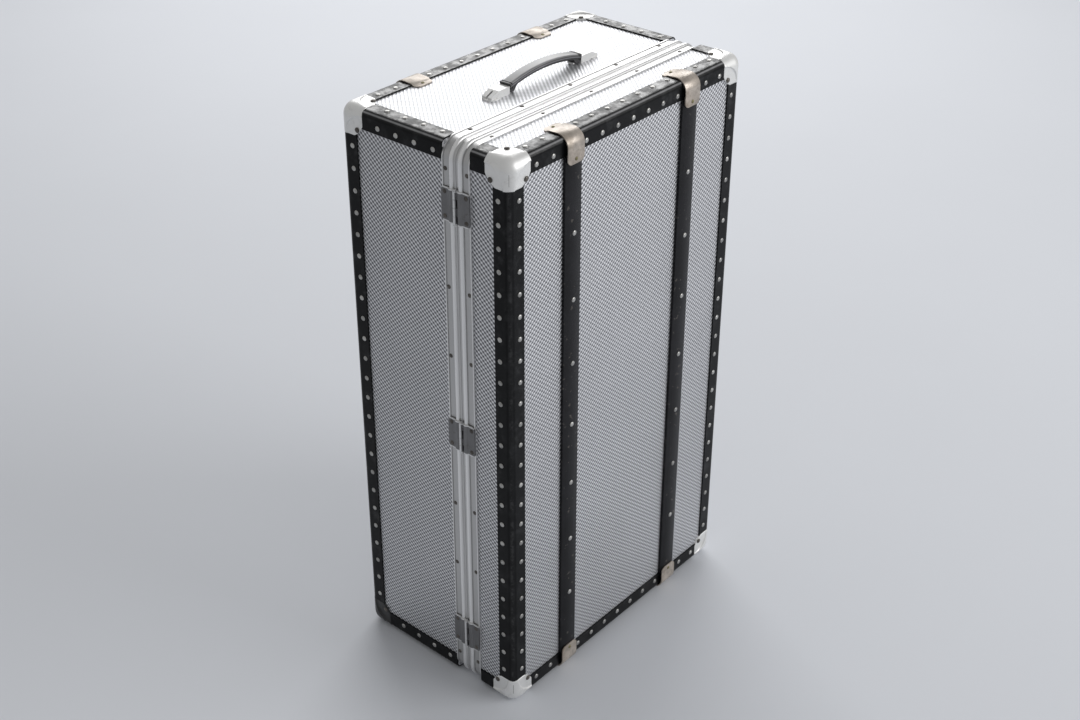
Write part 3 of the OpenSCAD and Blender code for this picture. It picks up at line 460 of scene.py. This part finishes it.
class SUITCASE_OT_caps(Operator):
    """Models one pressed corner cap and sets it on the eight corners of the case"""

    bl_idname = "suitcase.caps"
    bl_label = "Corner caps"

    def execute(self, context):
        f = finish()
        cap = self.model(f.cap_reach)
        bright = cap_look("nickelled cap", f.cap, 0.55, 0.40, 0.22)
        black = cap_look("black cap", f.black_cap, 0.0, 0.34, 0.35)
        for body, sy in (("lid", -1), ("base", 1)):
            for level, sz in (("top", 1), ("bottom", -1)):
                for side, sx in (("hinge", -1), ("lock", 1)):
                    node = f"{body}_cap_{level}_{side}"
                    corner = Vector((MIDDLE.x + sx * (HALF_W + f.fibre_t),
                                     MIDDLE.y + sy * (HALF_D + f.fibre_t),
                                     MIDDLE.z + sz * (HALF_H + f.fibre_t)))
                    piece = bpy.data.objects.new(f"{node}_pressed", cap.data.copy())
                    context.collection.objects.link(piece)
                    piece.data.transform(Matrix.Translation(corner)
                                         @ Matrix.Diagonal((-sx, -sy, -sz, 1)))
                    if sx * sy * sz > 0:
                        piece.data.flip_normals()
                    dark = body == "base" and level == "bottom"
                    piece.data.materials.append(black if dark else bright)
                    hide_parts(node)
                    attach(piece, body)
        bpy.data.objects.remove(cap)
        return {"FINISHED"}

    def model(self, reach):
        """The cap with the case's corner at the origin and the case in the positive octant"""
        f = finish()
        full = reach + f.cap_stand
        clear_selection()
        bpy.ops.mesh.primitive_cube_add(size=full, location=[full / 2 - f.cap_stand] * 3)
        cap = bpy.context.active_object
        cap.name = "cap_form"
        apply_place(cap)
        bpy.ops.object.mode_set(mode="EDIT")
        low = -f.cap_stand + 1e-4
        pick_edges(cap, lambda a, b: sum(max(a[i], b[i]) < low for i in range(3)) == 2)
        bpy.ops.mesh.bevel(offset=f.ball_r, segments=12, affect="EDGES")
        bpy.ops.object.mode_set(mode="OBJECT")

        clear_selection()
        bpy.ops.mesh.primitive_uv_sphere_add(segments=64, ring_count=32,
                                             radius=f.cap_reach * CAP_ROUND)
        self.cut(cap, "INTERSECT")
        sunk, above = f.cap_stand - f.lobe_stand, 0.01
        for turn in ((0, pi / 2, 0), (pi / 2, 0, 0), (0, 0, 0)):
            axis = Matrix.Rotation(turn[0], 3, "X") @ Matrix.Rotation(turn[1], 3, "Y")
            along = [abs(v) for v in axis @ Vector((0, 0, 1))]
            place = [-f.cap_stand + (sunk - above) / 2 if a > 0.5 else f.cap_reach
                     for a in along]
            clear_selection()
            bpy.ops.mesh.primitive_cylinder_add(vertices=96, radius=f.pad_r, depth=above + sunk,
                                                location=place, rotation=turn)
            self.cut(cap, "DIFFERENCE")
        clear_selection()
        hollow = 2 * reach
        bpy.ops.mesh.primitive_cube_add(size=hollow, location=[UNDER_SHEET + hollow / 2] * 3)
        self.cut(cap, "DIFFERENCE")
        add_modifier(cap, "REMESH", mode="VOXEL", voxel_size=0.0007)
        add_modifier(cap, "SMOOTH", factor=0.5, iterations=11)
        select(cap)
        bpy.ops.object.shade_smooth()
        return cap

    def cut(self, cap, operation):
        """Cuts the cap with the primitive that was added last"""
        tool = bpy.context.active_object
        apply_place(tool)
        add_modifier(cap, "BOOLEAN", object=tool, operation=operation, solver="EXACT")
        bpy.data.objects.remove(tool)


class SUITCASE_OT_rim(Operator):
    """Gives the bent rim its drawn lines, a painted highlight on its beads, painted shade in the
    valley between them, and darker bands beside them
    """

    bl_idname = "suitcase.rim"
    bl_label = "Rim"

    def execute(self, context):
        look = Look("drawn aluminium", Metallic=0.85)
        alloy = Vector(finish().alloy)
        d = abs(look.y - PARTING)
        lines = look.noise(60.0, 3.0, stretch=(0.12, 9.0, 0.12))
        cloud = look.noise(14.0, 4.0)
        valley = 1 - look.step(d, 0.0018, 0.0045)
        foot = look.band(d, 0.0110, 0.0004, 0.0008)
        lip_foot = look.band(d, 0.0198, 0.0003, 0.0006)
        crest = look.band(d, 0.0070, 0.0012, 0.0020)
        base = look.mix(lines * 0.5 + cloud * 0.5, alloy * 0.88, alloy * 1.06)
        flange = look.step(d, 0.0098, 0.0112) * (1 - look.step(d, 0.0196, 0.0204))
        # Painted shade: darker in the valley between the beads; also darker along the flange and
        # along the two foot lines
        valley_shade_and_dark_bands = look.mix(look.maths("MINIMUM", valley * 0.45 + flange * 0.55 + foot * 0.3
                                    + lip_foot * 0.35, 1.0), base, alloy * 0.36)
        # Painted highlight: the crests of the beads are lightened
        colour = look.mix(crest * 0.5, valley_shade_and_dark_bands, (0.92, 0.92, 0.92))
        rough = 0.30 + lines * 0.14 - crest * 0.08
        wear(["base_rim", "lid_rim"],
             look.finish(colour, rough, None, look.bump(lines, 0.00012, 0.5)))
        return {"FINISHED"}


class SUITCASE_OT_hinges(Operator):
    """Gives hinges and pins their stamped steel, duller at the flat leaves, with painted
    highlights on the knuckles and along the ends of the leaves
    """

    bl_idname = "suitcase.hinges"
    bl_label = "Hinges"

    def execute(self, context):
        look = Look("stamped steel", Metallic=0.80)
        steel = Vector(finish().steel)
        d = abs(look.y - PARTING)
        end_low, end_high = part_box("base_leaf_top")
        mid_low, mid_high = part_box("base_leaf_middle")
        apart = (end_low.z + end_high.z - mid_low.z - mid_high.z) / 2
        off = abs(look.z - (mid_low.z + mid_high.z) / 2)
        off = look.maths("MINIMUM", off, abs(off - apart))
        tall = (mid_high.z - mid_low.z) / 2
        # Painted highlight along the upper and lower ends of each leaf
        edge_wear_and_painted_highlight = look.step(off, tall - 0.0020, tall - 0.0010)
        cloud = look.noise(55.0, 5.0, roughness=0.7)
        grain = look.noise(500.0, 2.0)
        spots = look.step(look.noise(150.0, 4.0, shift=(2, 2, 5)), 0.58, 0.72)
        flat = look.step(d, 0.0125, 0.0140)
        knuckle = 1 - look.step(d, 0.0013, 0.0019)
        base = look.mix(cloud, steel * 0.70, steel * 1.25)
        dull = look.mix(flat * 0.20, base, steel * 0.7)
        spotted = look.mix(spots * 0.45, dull, (0.10, 0.09, 0.08))
        # Painted highlight: the leaves' ends and the knuckles are lightened towards white
        colour = look.mix(look.maths("MAXIMUM", edge_wear_and_painted_highlight, knuckle) * 0.8, spotted,
                          (0.86, 0.86, 0.86))
        wear(named("leaf") + ["hinge_pins"],
             look.finish(colour, 0.30 + cloud * 0.18 + flat * 0.06, None,
                         look.bump(grain + cloud, 0.00016, 0.6)))
        return {"FINISHED"}


class SUITCASE_OT_battens(Operator):
    """Gives the battens worn black lacquer over wood, chipped through to the wood in patches"""

    bl_idname = "suitcase.battens"
    bl_label = "Battens"

    def execute(self, context):
        look = Look("black lacquer", Specular_IOR_Level=0.17)
        black = Vector(finish().batten)
        grain = look.noise(240.0, 4.0, stretch=(1, 1, 0.06))
        cloud = look.noise(18.0, 5.0, roughness=0.65)
        chip = look.step(look.noise(120.0, 5.0, shift=(4, 1, 1)), 0.64, 0.70)
        base = look.mix(look.step(cloud, 0.35, 0.75), black, black * 2.0)
        colour = look.mix(chip * 0.35, base, (0.20, 0.18, 0.16))
        wear(named("batten"),
             look.finish(colour, 0.34 + cloud * 0.16, None,
                         look.bump(grain + cloud * 0.5, 0.00016, 0.5)))
        return {"FINISHED"}


class SUITCASE_OT_clips(Operator):
    """Models one bowed strap and bends it over the four batten ends of each half"""

    bl_idname = "suitcase.clips"
    bl_label = "Clips"

    def execute(self, context):
        strap = self.model()
        look = self.tarnish()
        for body, sy in (("base", 1), ("lid", -1)):
            made = []
            for side in ("hinge", "lock"):
                low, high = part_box(f"{body}_batten_{side}")
                for sz in (-1, 1):
                    piece = bpy.data.objects.new("strap", strap.data.copy())
                    context.collection.objects.link(piece)
                    corner = Vector(((low.x + high.x) / 2,
                                     MIDDLE.y + sy * (HALF_D + finish().fibre_t),
                                     MIDDLE.z + sz * (HALF_H + finish().fibre_t)))
                    piece.data.transform(Matrix.Translation(corner)
                                         @ Matrix.Diagonal((1, -sy, sz, 1)))
                    if sy * sz > 0:
                        piece.data.flip_normals()
                    made.append(piece)
            straps = join(made, f"{body}_straps")
            straps.data.materials.append(look)
            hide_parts(f"{body}_clips")
            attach(straps, body)
        bpy.data.objects.remove(strap)
        return {"FINISHED"}

    def model(self):
        """The strap of the lid's front at the top, with the fibre's edge at the origin"""
        f = finish()
        thick, reach, bow = 0.0014, 0.036, f.strap_bow
        rise = 0.0010  # Of its upper run over the fibre
        step_from, step_to = 0.025, 0.0285  # Where it steps down from the fibre to the sheet
        mid = UNDER_SHEET + thick / 2
        clear_selection()
        bpy.ops.mesh.primitive_plane_add(size=1.0, location=(0, -mid, -reach))
        strap = bpy.context.active_object
        strap.name = "strap_form"
        strap.scale = (f.strap_w, thick, 1)
        apply_place(strap)
        bpy.ops.object.mode_set(mode="EDIT")
        bpy.ops.mesh.select_all(action="SELECT")
        self.run((0, 0, reach - bow + rise))
        bpy.ops.mesh.spin(steps=14, angle=pi / 2, center=(0, bow - UNDER_SHEET, rise - bow),
                          axis=(1, 0, 0))
        self.run((0, step_from - bow + UNDER_SHEET, -rise + 0.0001))
        self.run((0, step_to - step_from, -f.fibre_t + 0.0001))
        self.run((0, reach - step_to, 0))
        bpy.ops.mesh.select_all(action="SELECT")
        bpy.ops.mesh.remove_doubles(threshold=1e-6)
        bpy.ops.mesh.normals_make_consistent(inside=False)
        pick_edges(strap, lambda a, b: abs(a.x - b.x) < 1e-5 and all(
            v.z < -reach + 1e-5 or v.y > reach - 1e-5 for v in (a, b)))
        bpy.ops.mesh.bevel(offset=0.0075, segments=7, affect="EDGES")
        bpy.ops.object.mode_set(mode="OBJECT")
        add_modifier(strap, "BEVEL", width=0.0004, segments=2, limit_method="ANGLE",
                     angle_limit=radians(50))
        select(strap)
        bpy.ops.object.shade_smooth_by_angle(angle=radians(35))
        return strap

    def run(self, step):
        """Draws the strap's end on in a straight line"""
        bpy.ops.mesh.extrude_region_move(TRANSFORM_OT_translate={"value": step})

    def tarnish(self):
        """Aged nickel, with painted shade on its upper run and stained down its lower one"""
        f = finish()
        look = Look("aged nickel", Metallic=0.55)
        t = HALF_H + f.fibre_t - abs(look.z - MIDDLE.z)
        cloud = look.noise(70.0, 5.0, roughness=0.65)
        patch = look.step(look.noise(38.0, 4.0, shift=(6, 3, 1)), 0.45, 0.66)
        pits = look.step(look.noise(420.0, 3.0), 0.58, 0.70)
        lower = look.step(t, 0.010, 0.030)
        top = 1 - look.step(t, -0.001, 0.004)
        base = look.mix(look.step(cloud, 0.3, 0.7), Vector(f.clip) * 0.72, Vector(f.clip) * 1.22)
        stained = look.mix(patch * 0.40 + lower * 0.20, base, f.clip_stain)
        # Painted shade: the upper run is darkened towards a duller nickel
        shaded = look.mix(top * 0.45, stained, Vector(f.clip) * 0.62)
        colour = look.mix(pits * 0.30, shaded, (0.16, 0.14, 0.10))
        return look.finish(colour, 0.34 + patch * 0.16 + pits * 0.12, None,
                           look.bump(cloud - pits * 0.5, 0.00014, 0.5))


def rivet_look(name, rgb, metallic, rough):
    """Domed heads, each a little different, with grime in their scratches"""
    look = Look(name, Metallic=metallic)
    each = look.noise(34.0, 1.0)
    scratch = look.noise(1400.0, 3.0)
    spot = look.step(look.noise(330.0, 3.0, shift=(3, 3, 3)), 0.52, 0.68)
    base = look.mix(look.step(each, 0.30, 0.70), Vector(rgb) * 0.75, Vector(rgb) * 1.20)
    colour = look.mix(spot * 0.45, base, Vector(rgb) * 0.30)
    return look.finish(colour, rough + scratch * 0.16 + spot * 0.1, None,
                       look.bump(scratch, 0.0001, 0.4))


def islands(name):
    """Boxes of the separate solids of one of the case's pieces"""
    shape = bmesh.new()
    shape.from_mesh(NODES[name].data)
    bmesh.ops.remove_doubles(shape, verts=shape.verts, dist=1e-6)
    left = set(shape.verts)
    boxes = []
    while left:
        front = [left.pop()]
        found = list(front)
        while front:
            near = {e.other_vert(v) for v in front for e in v.link_edges} & left
            left -= near
            front = list(near)
            found += front
        boxes.append(tuple(Vector([pick_end(v.co[i] for v in found) for i in range(3)])
                           for pick_end in (min, max)))
    shape.free()
    return sorted(boxes, key=lambda box: tuple(round(c, 5) for c in box[0]))


class SUITCASE_OT_rivets(Operator):
    """Models one domed rivet head and sets it on every rivet of edges, straps and rim"""

    bl_idname = "suitcase.rivets"
    bl_label = "Rivets"

    def execute(self, context):
        f = finish()
        clear_selection()
        bpy.ops.mesh.primitive_uv_sphere_add(segments=20, ring_count=14, radius=1.0)
        dome = bpy.context.active_object
        bpy.ops.object.mode_set(mode="EDIT")
        bpy.ops.mesh.select_all(action="SELECT")
        bpy.ops.mesh.bisect(plane_co=(0, 0, 0), plane_no=(0, 0, -1), clear_outer=True)
        pick_verts(dome, lambda v: v.z < 0.02)
        bpy.ops.mesh.extrude_region_move(TRANSFORM_OT_translate={"value": (0, 0, -0.3)})
        bpy.ops.object.mode_set(mode="OBJECT")
        bpy.ops.object.shade_smooth()
        bright = rivet_look("nickelled rivet", f.rivet, 0.85, 0.24)
        # Rim and cap rivets are given a dark colour
        dark = rivet_look("dark-headed rivet", f.dark_rivet, 0.60, 0.34)
        brass = rivet_look("strap rivet", f.strap_rivet, 0.60, 0.40)
        for body in ("base", "lid"):
            sorts = {"edge": [], "cap": [], "strap": []}
            for box in islands(f"{body}_edge_rivets"):
                sorts[self.sort(*box)].append(box)
            self.place(dome, f"{body}_edge_heads", sorts["edge"], f.rivet_grow, bright, body,
                       "rivet", f"{body}_edge_rivets")
            self.place(dome, f"{body}_cap_heads", sorts["cap"], f.rivet_grow, dark, body, "rivet")
            self.place(dome, f"{body}_strap_heads", sorts["strap"], 1.1, brass, body, "rivet")
            self.place(dome, f"{body}_rim_heads", islands(f"{body}_rim_rivets"), f.rim_grow,
                       dark, body, "dark_rivet", f"{body}_rim_rivets")
        bpy.data.objects.remove(dome)
        return {"FINISHED"}

    def sort(self, low, high):
        """Tells cap rivets by their place near a corner and strap rivets by their size"""
        off = (low + high) / 2 - MIDDLE
        room = [half - abs(off[i]) for i, half in enumerate((HALF_W, HALF_D, HALF_H))]
        if max(room) < CAP_ROOM:
            return "cap"
        return "edge" if max(high - low) > STRAP_HEAD_MOST else "strap"

    def place(self, dome, name, boxes, grow, material, body, slot, node=None):
        """Sets a head on every box, facing away from the case, as one piece"""
        shape = bmesh.new()
        for low, high in boxes:
            size, spot = high - low, (low + high) / 2
            k = min(range(3), key=lambda i: size[i])
            away = 1 if spot[k] > MIDDLE[k] else -1
            spot[k] = low[k] if away > 0 else high[k]
            out = Vector([away if i == k else 0 for i in range(3)])
            turn = out.to_track_quat("Z", "Y").to_matrix().to_4x4()
            wide = max(size) / 2 * grow
            head = dome.data.copy()
            head.transform(Matrix.Translation(spot) @ turn
                           @ Matrix.Diagonal((wide, wide, size[k], 1)))
            shape.from_mesh(head)
            bpy.data.meshes.remove(head)
        joined = bpy.data.meshes.new(name)
        shape.to_mesh(joined)
        shape.free()
        joined.materials.append(material)
        piece = bpy.data.objects.new(name, joined)
        bpy.context.collection.objects.link(piece)
        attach(piece, body)
        if node:
            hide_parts(node)


class SUITCASE_OT_grip(Operator):
    """Models the arched grip with its crown, welts, feet and collars, over the tongues"""

    bl_idname = "suitcase.grip"
    bl_label = "Grip"

    def execute(self, context):
        low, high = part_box("grip")
        self.middle = (low + high) / 2
        self.half = (high.x - low.x) / 2
        self.bottom = low.z
        self.width = 0.0168
        drop = 0.0095
        self.thick = 0.0080
        self.radius = (self.half ** 2 + drop ** 2) / (2 * drop)
        self.centre = Vector((self.middle.x, self.middle.y, high.z - self.radius))
        grip = self.bow("grip_cover", self.thick, self.width, 0.0, 0.0, 0.0026, 4)
        for side in (-1, 1):
            self.add_foot(grip, side)
        add_modifier(grip, "REMESH", mode="VOXEL", voxel_size=0.0006)
        add_modifier(grip, "SMOOTH", factor=0.5, iterations=5)
        welts = [self.bow("welt", 0.0013, 0.0012, 0.0004, side * (self.width / 2 - 0.0001),
                          0.0004, 2) for side in (-1, 1)]
        welts = join(welts, "grip_welts")
        collars = self.collars()
        for piece in (grip, welts, collars):
            select(piece)
            bpy.ops.object.shade_smooth()
            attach(piece, "handle")
        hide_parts("grip")

        f = finish()
        black = Vector(f.grip)
        for piece, name, tone, rough, crown_sheen in (
                (grip, "moulded grip", 1.0, 0.34, 0.62), (welts, "grip welt", 9.0, 0.40, 0.62),
                (collars, "grip collar", 0.5, 0.30, 0.0)):
            look = Look(name, Specular_IOR_Level=0.55, Coat_Weight=0.45, Coat_Roughness=0.28)
            fine = look.noise(1500.0, 3.0)
            rub = look.step(look.noise(60.0, 5.0, stretch=(0.4, 1, 1)), 0.50, 0.75)
            place = [look.x - self.centre.x, look.z - self.centre.z]
            out = look.maths("SQRT", place[0] * place[0] + place[1] * place[1])
            # Painted sheen: the crown is greyed for the light it reflects, greyer where rubbed
            crown = look.step(out, self.radius - 0.0022, self.radius - 0.0012)
            plain = look.mix(rub * 0.6, black * tone, black * tone * 2.2)
            colour = look.mix(crown * (crown_sheen + rub * crown_sheen * 0.4), plain, f.crown)
            piece.data.materials.append(look.finish(colour, rough + fine * 0.14, None,
                                                    look.bump(fine, 0.00012, 0.45)))
        return {"FINISHED"}

    def bow(self, name, thick, width, lift, aside, round_off, segments):
        """A bar of rounded section, bent along the arch; lift and aside move its section"""
        reach = 1.10 * atan2(self.half, self.radius)
        tilt = Matrix.Rotation(reach, 3, "Y")
        start = self.centre + tilt @ Vector((0, 0, self.radius - self.thick / 2 + lift))
        start.y += aside
        clear_selection()
        bpy.ops.mesh.primitive_plane_add(size=1.0, location=start,
                                         rotation=(0, pi / 2 + reach, 0))
        bar = bpy.context.active_object
        bar.name = name
        bar.scale = (thick, width, 1)
        apply_place(bar)
        bpy.ops.object.mode_set(mode="EDIT")
        bpy.ops.mesh.select_all(action="SELECT")
        bpy.ops.mesh.bevel(offset=round_off, segments=segments, affect="VERTICES")
        bpy.ops.mesh.select_all(action="SELECT")
        bpy.ops.mesh.spin(steps=48, angle=2 * reach, center=self.centre, axis=(0, 1, 0))
        for side in (-1, 1):
            bpy.ops.mesh.select_all(action="SELECT")
            bpy.ops.mesh.bisect(plane_co=(self.middle.x + side * self.half, 0, 0),
                                plane_no=(side, 0, 0), clear_outer=True, use_fill=True)
        bpy.ops.mesh.select_all(action="SELECT")
        bpy.ops.mesh.remove_doubles(threshold=1e-5)
        bpy.ops.mesh.normals_make_consistent(inside=False)
        bpy.ops.object.mode_set(mode="OBJECT")
        return bar

    def add_foot(self, grip, side):
        """Joins to the grip's end a foot whose inner face leans under the arch"""
        foot_l, foot_h, lean = 0.0085, 0.0115, 0.0095
        clear_selection()
        bpy.ops.mesh.primitive_cube_add(size=1.0, location=(
            self.middle.x + side * (self.half - foot_l / 2), self.middle.y,
            self.bottom + foot_h / 2))
        foot = bpy.context.active_object
        foot.scale = (foot_l, self.width * 0.92, foot_h)
        apply_place(foot)
        bpy.ops.object.mode_set(mode="EDIT")
        inner = self.middle.x + side * (self.half - foot_l)
        level = self.bottom + foot_h / 2
        pick_verts(foot, lambda v: abs(v.x - inner) < 1e-4 and v.z > level)
        bpy.ops.transform.translate(value=(-side * lean, 0, 0))
        bpy.ops.mesh.select_mode(type="EDGE")
        bpy.ops.mesh.select_all(action="SELECT")
        bpy.ops.mesh.bevel(offset=0.0012, segments=3, affect="EDGES")
        bpy.ops.object.mode_set(mode="OBJECT")
        add_modifier(grip, "BOOLEAN", object=foot, operation="UNION", solver="EXACT")
        bpy.data.objects.remove(foot)

    def collars(self):
        """Two bands round each end of the grip"""
        made = []
        for side in (-1, 1):
            for place, extra in ((0.0009, 0.0012), (0.0042, 0.0006)):
                clear_selection()
                x = self.half - place
                rise = (self.radius ** 2 - x ** 2) ** 0.5
                bpy.ops.mesh.primitive_cube_add(size=1.0, location=(
                    self.middle.x + side * x, self.middle.y,
                    self.centre.z + rise - self.thick / 2 + extra * 0.25))
                band = bpy.context.active_object
                band.scale = (0.0018, self.width + extra, self.thick + extra * 0.5)
                band.rotation_euler = (0, side * atan2(x, rise), 0)
                apply_place(band)
                add_modifier(band, "BEVEL", width=0.0006, segments=3)
                made.append(band)
        return join(made, "grip_collars")


class SUITCASE_OT_fittings(Operator):
    """Finishes the handle's housings and tongues, and the locks with their hasps"""

    bl_idname = "suitcase.fittings"
    bl_label = "Handle housings and locks"

    def execute(self, context):
        f = finish()
        wear(["handle_housings", "grip_tongues"], self.nickel("housing nickel", f.nickel, 0.35))
        wear(["lock_bodies", "hasp_plates", "hasp_top", "hasp_bottom", "lock_slide_top",
              "lock_slide_bottom"], self.nickel("lock nickel", Vector(f.nickel) * 0.66, 0.80))
        return {"FINISHED"}

    def nickel(self, name, rgb, metallic):
        look = Look(name, Metallic=metallic)
        silver = Vector(rgb)
        cloud = look.noise(65.0, 4.0)
        scratch = look.noise(700.0, 4.0, stretch=(1, 0.3, 1))
        spot = look.step(look.noise(240.0, 3.0, shift=(1, 1, 6)), 0.60, 0.72)
        base = look.mix(cloud, silver * 0.85, silver * 1.07)
        colour = look.mix(spot * 0.30, base, (0.24, 0.23, 0.21))
        return look.finish(colour, 0.26 + scratch * 0.16 + spot * 0.1, None,
                           look.bump(scratch, 0.0001, 0.4))


# ---- Studio


class SUITCASE_OT_stage(Operator):
    """Sets the camera, the even sky, two softboxes and the pale floor"""

    bl_idname = "suitcase.stage"
    bl_label = "Stage"

    def execute(self, context):
        s = context.scene.suitcase_stage
        ahead = Vector((sin(s.yaw) * cos(s.pitch), cos(s.yaw) * cos(s.pitch), -sin(s.pitch)))
        right = Vector((cos(s.yaw), -sin(s.yaw), 0))
        up = right.cross(ahead)
        level = cos(s.roll) * right + sin(s.roll) * up
        upright = -sin(s.roll) * right + cos(s.roll) * up
        lens = bpy.data.cameras.new("camera")
        lens.sensor_width = 36.0
        lens.lens = s.lens
        lens.shift_x = s.shift_x
        lens.shift_y = s.shift_y
        lens.clip_start = 0.05
        lens.clip_end = 100.0
        camera = bpy.data.objects.new("camera", lens)
        camera.matrix_world = Matrix.Translation(s.eye) @ Matrix(
            (level, upright, -ahead)).transposed().to_4x4()
        context.collection.objects.link(camera)
        context.scene.camera = camera

        world = bpy.data.worlds.new("studio")
        world.use_nodes = True
        sky = world.node_tree.nodes["Background"]
        sky.inputs["Color"].default_value = (1.0, 1.0, 1.0, 1.0)
        sky.inputs["Strength"].default_value = s.sky
        context.scene.world = world
        context.scene.view_settings.view_transform = "Standard"

        self.softbox(context, "back softbox", place=(2.6, 2.3, 2.5), size=(3.2, 2.4),
                     power=s.back_box)
        self.softbox(context, "front softbox", place=(1.6, -3.2, 1.9), size=(2.4, 2.0),
                     power=s.front_box)

        clear_selection()
        bpy.ops.mesh.primitive_plane_add(size=90.0, location=(0, 0, 0))
        floor = context.active_object
        floor.name = "floor"
        look = Look("studio floor", Specular_IOR_Level=0.2)
        cloud = look.noise(1.2, 4.0)
        pale = Vector(s.floor)
        near = look.mix(cloud, pale * 0.97, pale * 1.03)
        away = look.node("ShaderNodeVectorMath", {0: look.place}, result="Value",
                         operation="LENGTH")
        # Far off it turns white, so that it meets the sky without a line
        floor.data.materials.append(look.finish(
            look.mix(look.step(away, 4.0, 10.0), near, (1.0, 1.0, 1.0)), 0.62 + cloud * 0.05))
        return {"FINISHED"}

    def softbox(self, context, name, place, size, power):
        """A broad lamp that faces the middle of the case"""
        lamp = bpy.data.lights.new(name, "AREA")
        lamp.shape = "RECTANGLE"
        lamp.size, lamp.size_y = size
        lamp.energy = power
        holder = bpy.data.objects.new(name, lamp)
        aim = Vector((0, 0, 0.45)) - Vector(place)
        holder.matrix_world = Matrix.Translation(place) @ aim.to_track_quat(
            "-Z", "Y").to_matrix().to_4x4()
        context.collection.objects.link(holder)


class SUITCASE_PT_sidebar(Panel):
    """Lists the steps and settings in the sidebar"""

    bl_label = "Trunk Suitcase"
    bl_idname = "SUITCASE_PT_sidebar"
    bl_space_type = "VIEW_3D"
    bl_region_type = "UI"
    bl_category = "Suitcase"

    def draw(self, context):
        for step in STEPS:
            self.layout.operator(step.bl_idname)
        for group in (context.scene.suitcase_finish, context.scene.suitcase_stage):
            box = self.layout.box()
            for name in group.bl_rna.properties.keys():
                if name not in ("rna_type", "name"):
                    box.prop(group, name)


STEPS = (SUITCASE_OT_stage, SUITCASE_OT_panels, SUITCASE_OT_lining, SUITCASE_OT_edges,
         SUITCASE_OT_caps, SUITCASE_OT_rim, SUITCASE_OT_hinges, SUITCASE_OT_battens,
         SUITCASE_OT_clips, SUITCASE_OT_rivets, SUITCASE_OT_grip, SUITCASE_OT_fittings)
CLASSES = (SuitcaseFinish, SuitcaseStage, *STEPS, SUITCASE_PT_sidebar)


def register():
    for cls in CLASSES:
        bpy.utils.register_class(cls)
    bpy.types.Scene.suitcase_finish = PointerProperty(type=SuitcaseFinish)
    bpy.types.Scene.suitcase_stage = PointerProperty(type=SuitcaseStage)


def unregister():
    del bpy.types.Scene.suitcase_stage
    del bpy.types.Scene.suitcase_finish
    for cls in reversed(CLASSES):
        bpy.utils.unregister_class(cls)


def main():
    register()
    bpy.ops.suitcase.stage()
    bpy.ops.suitcase.panels()
    bpy.ops.suitcase.lining()
    bpy.ops.suitcase.edges()
    bpy.ops.suitcase.caps()
    bpy.ops.suitcase.rim()
    bpy.ops.suitcase.hinges()
    bpy.ops.suitcase.battens()
    bpy.ops.suitcase.clips()
    bpy.ops.suitcase.rivets()
    bpy.ops.suitcase.grip()
    bpy.ops.suitcase.fittings()


if __name__ == "__main__":
    main()
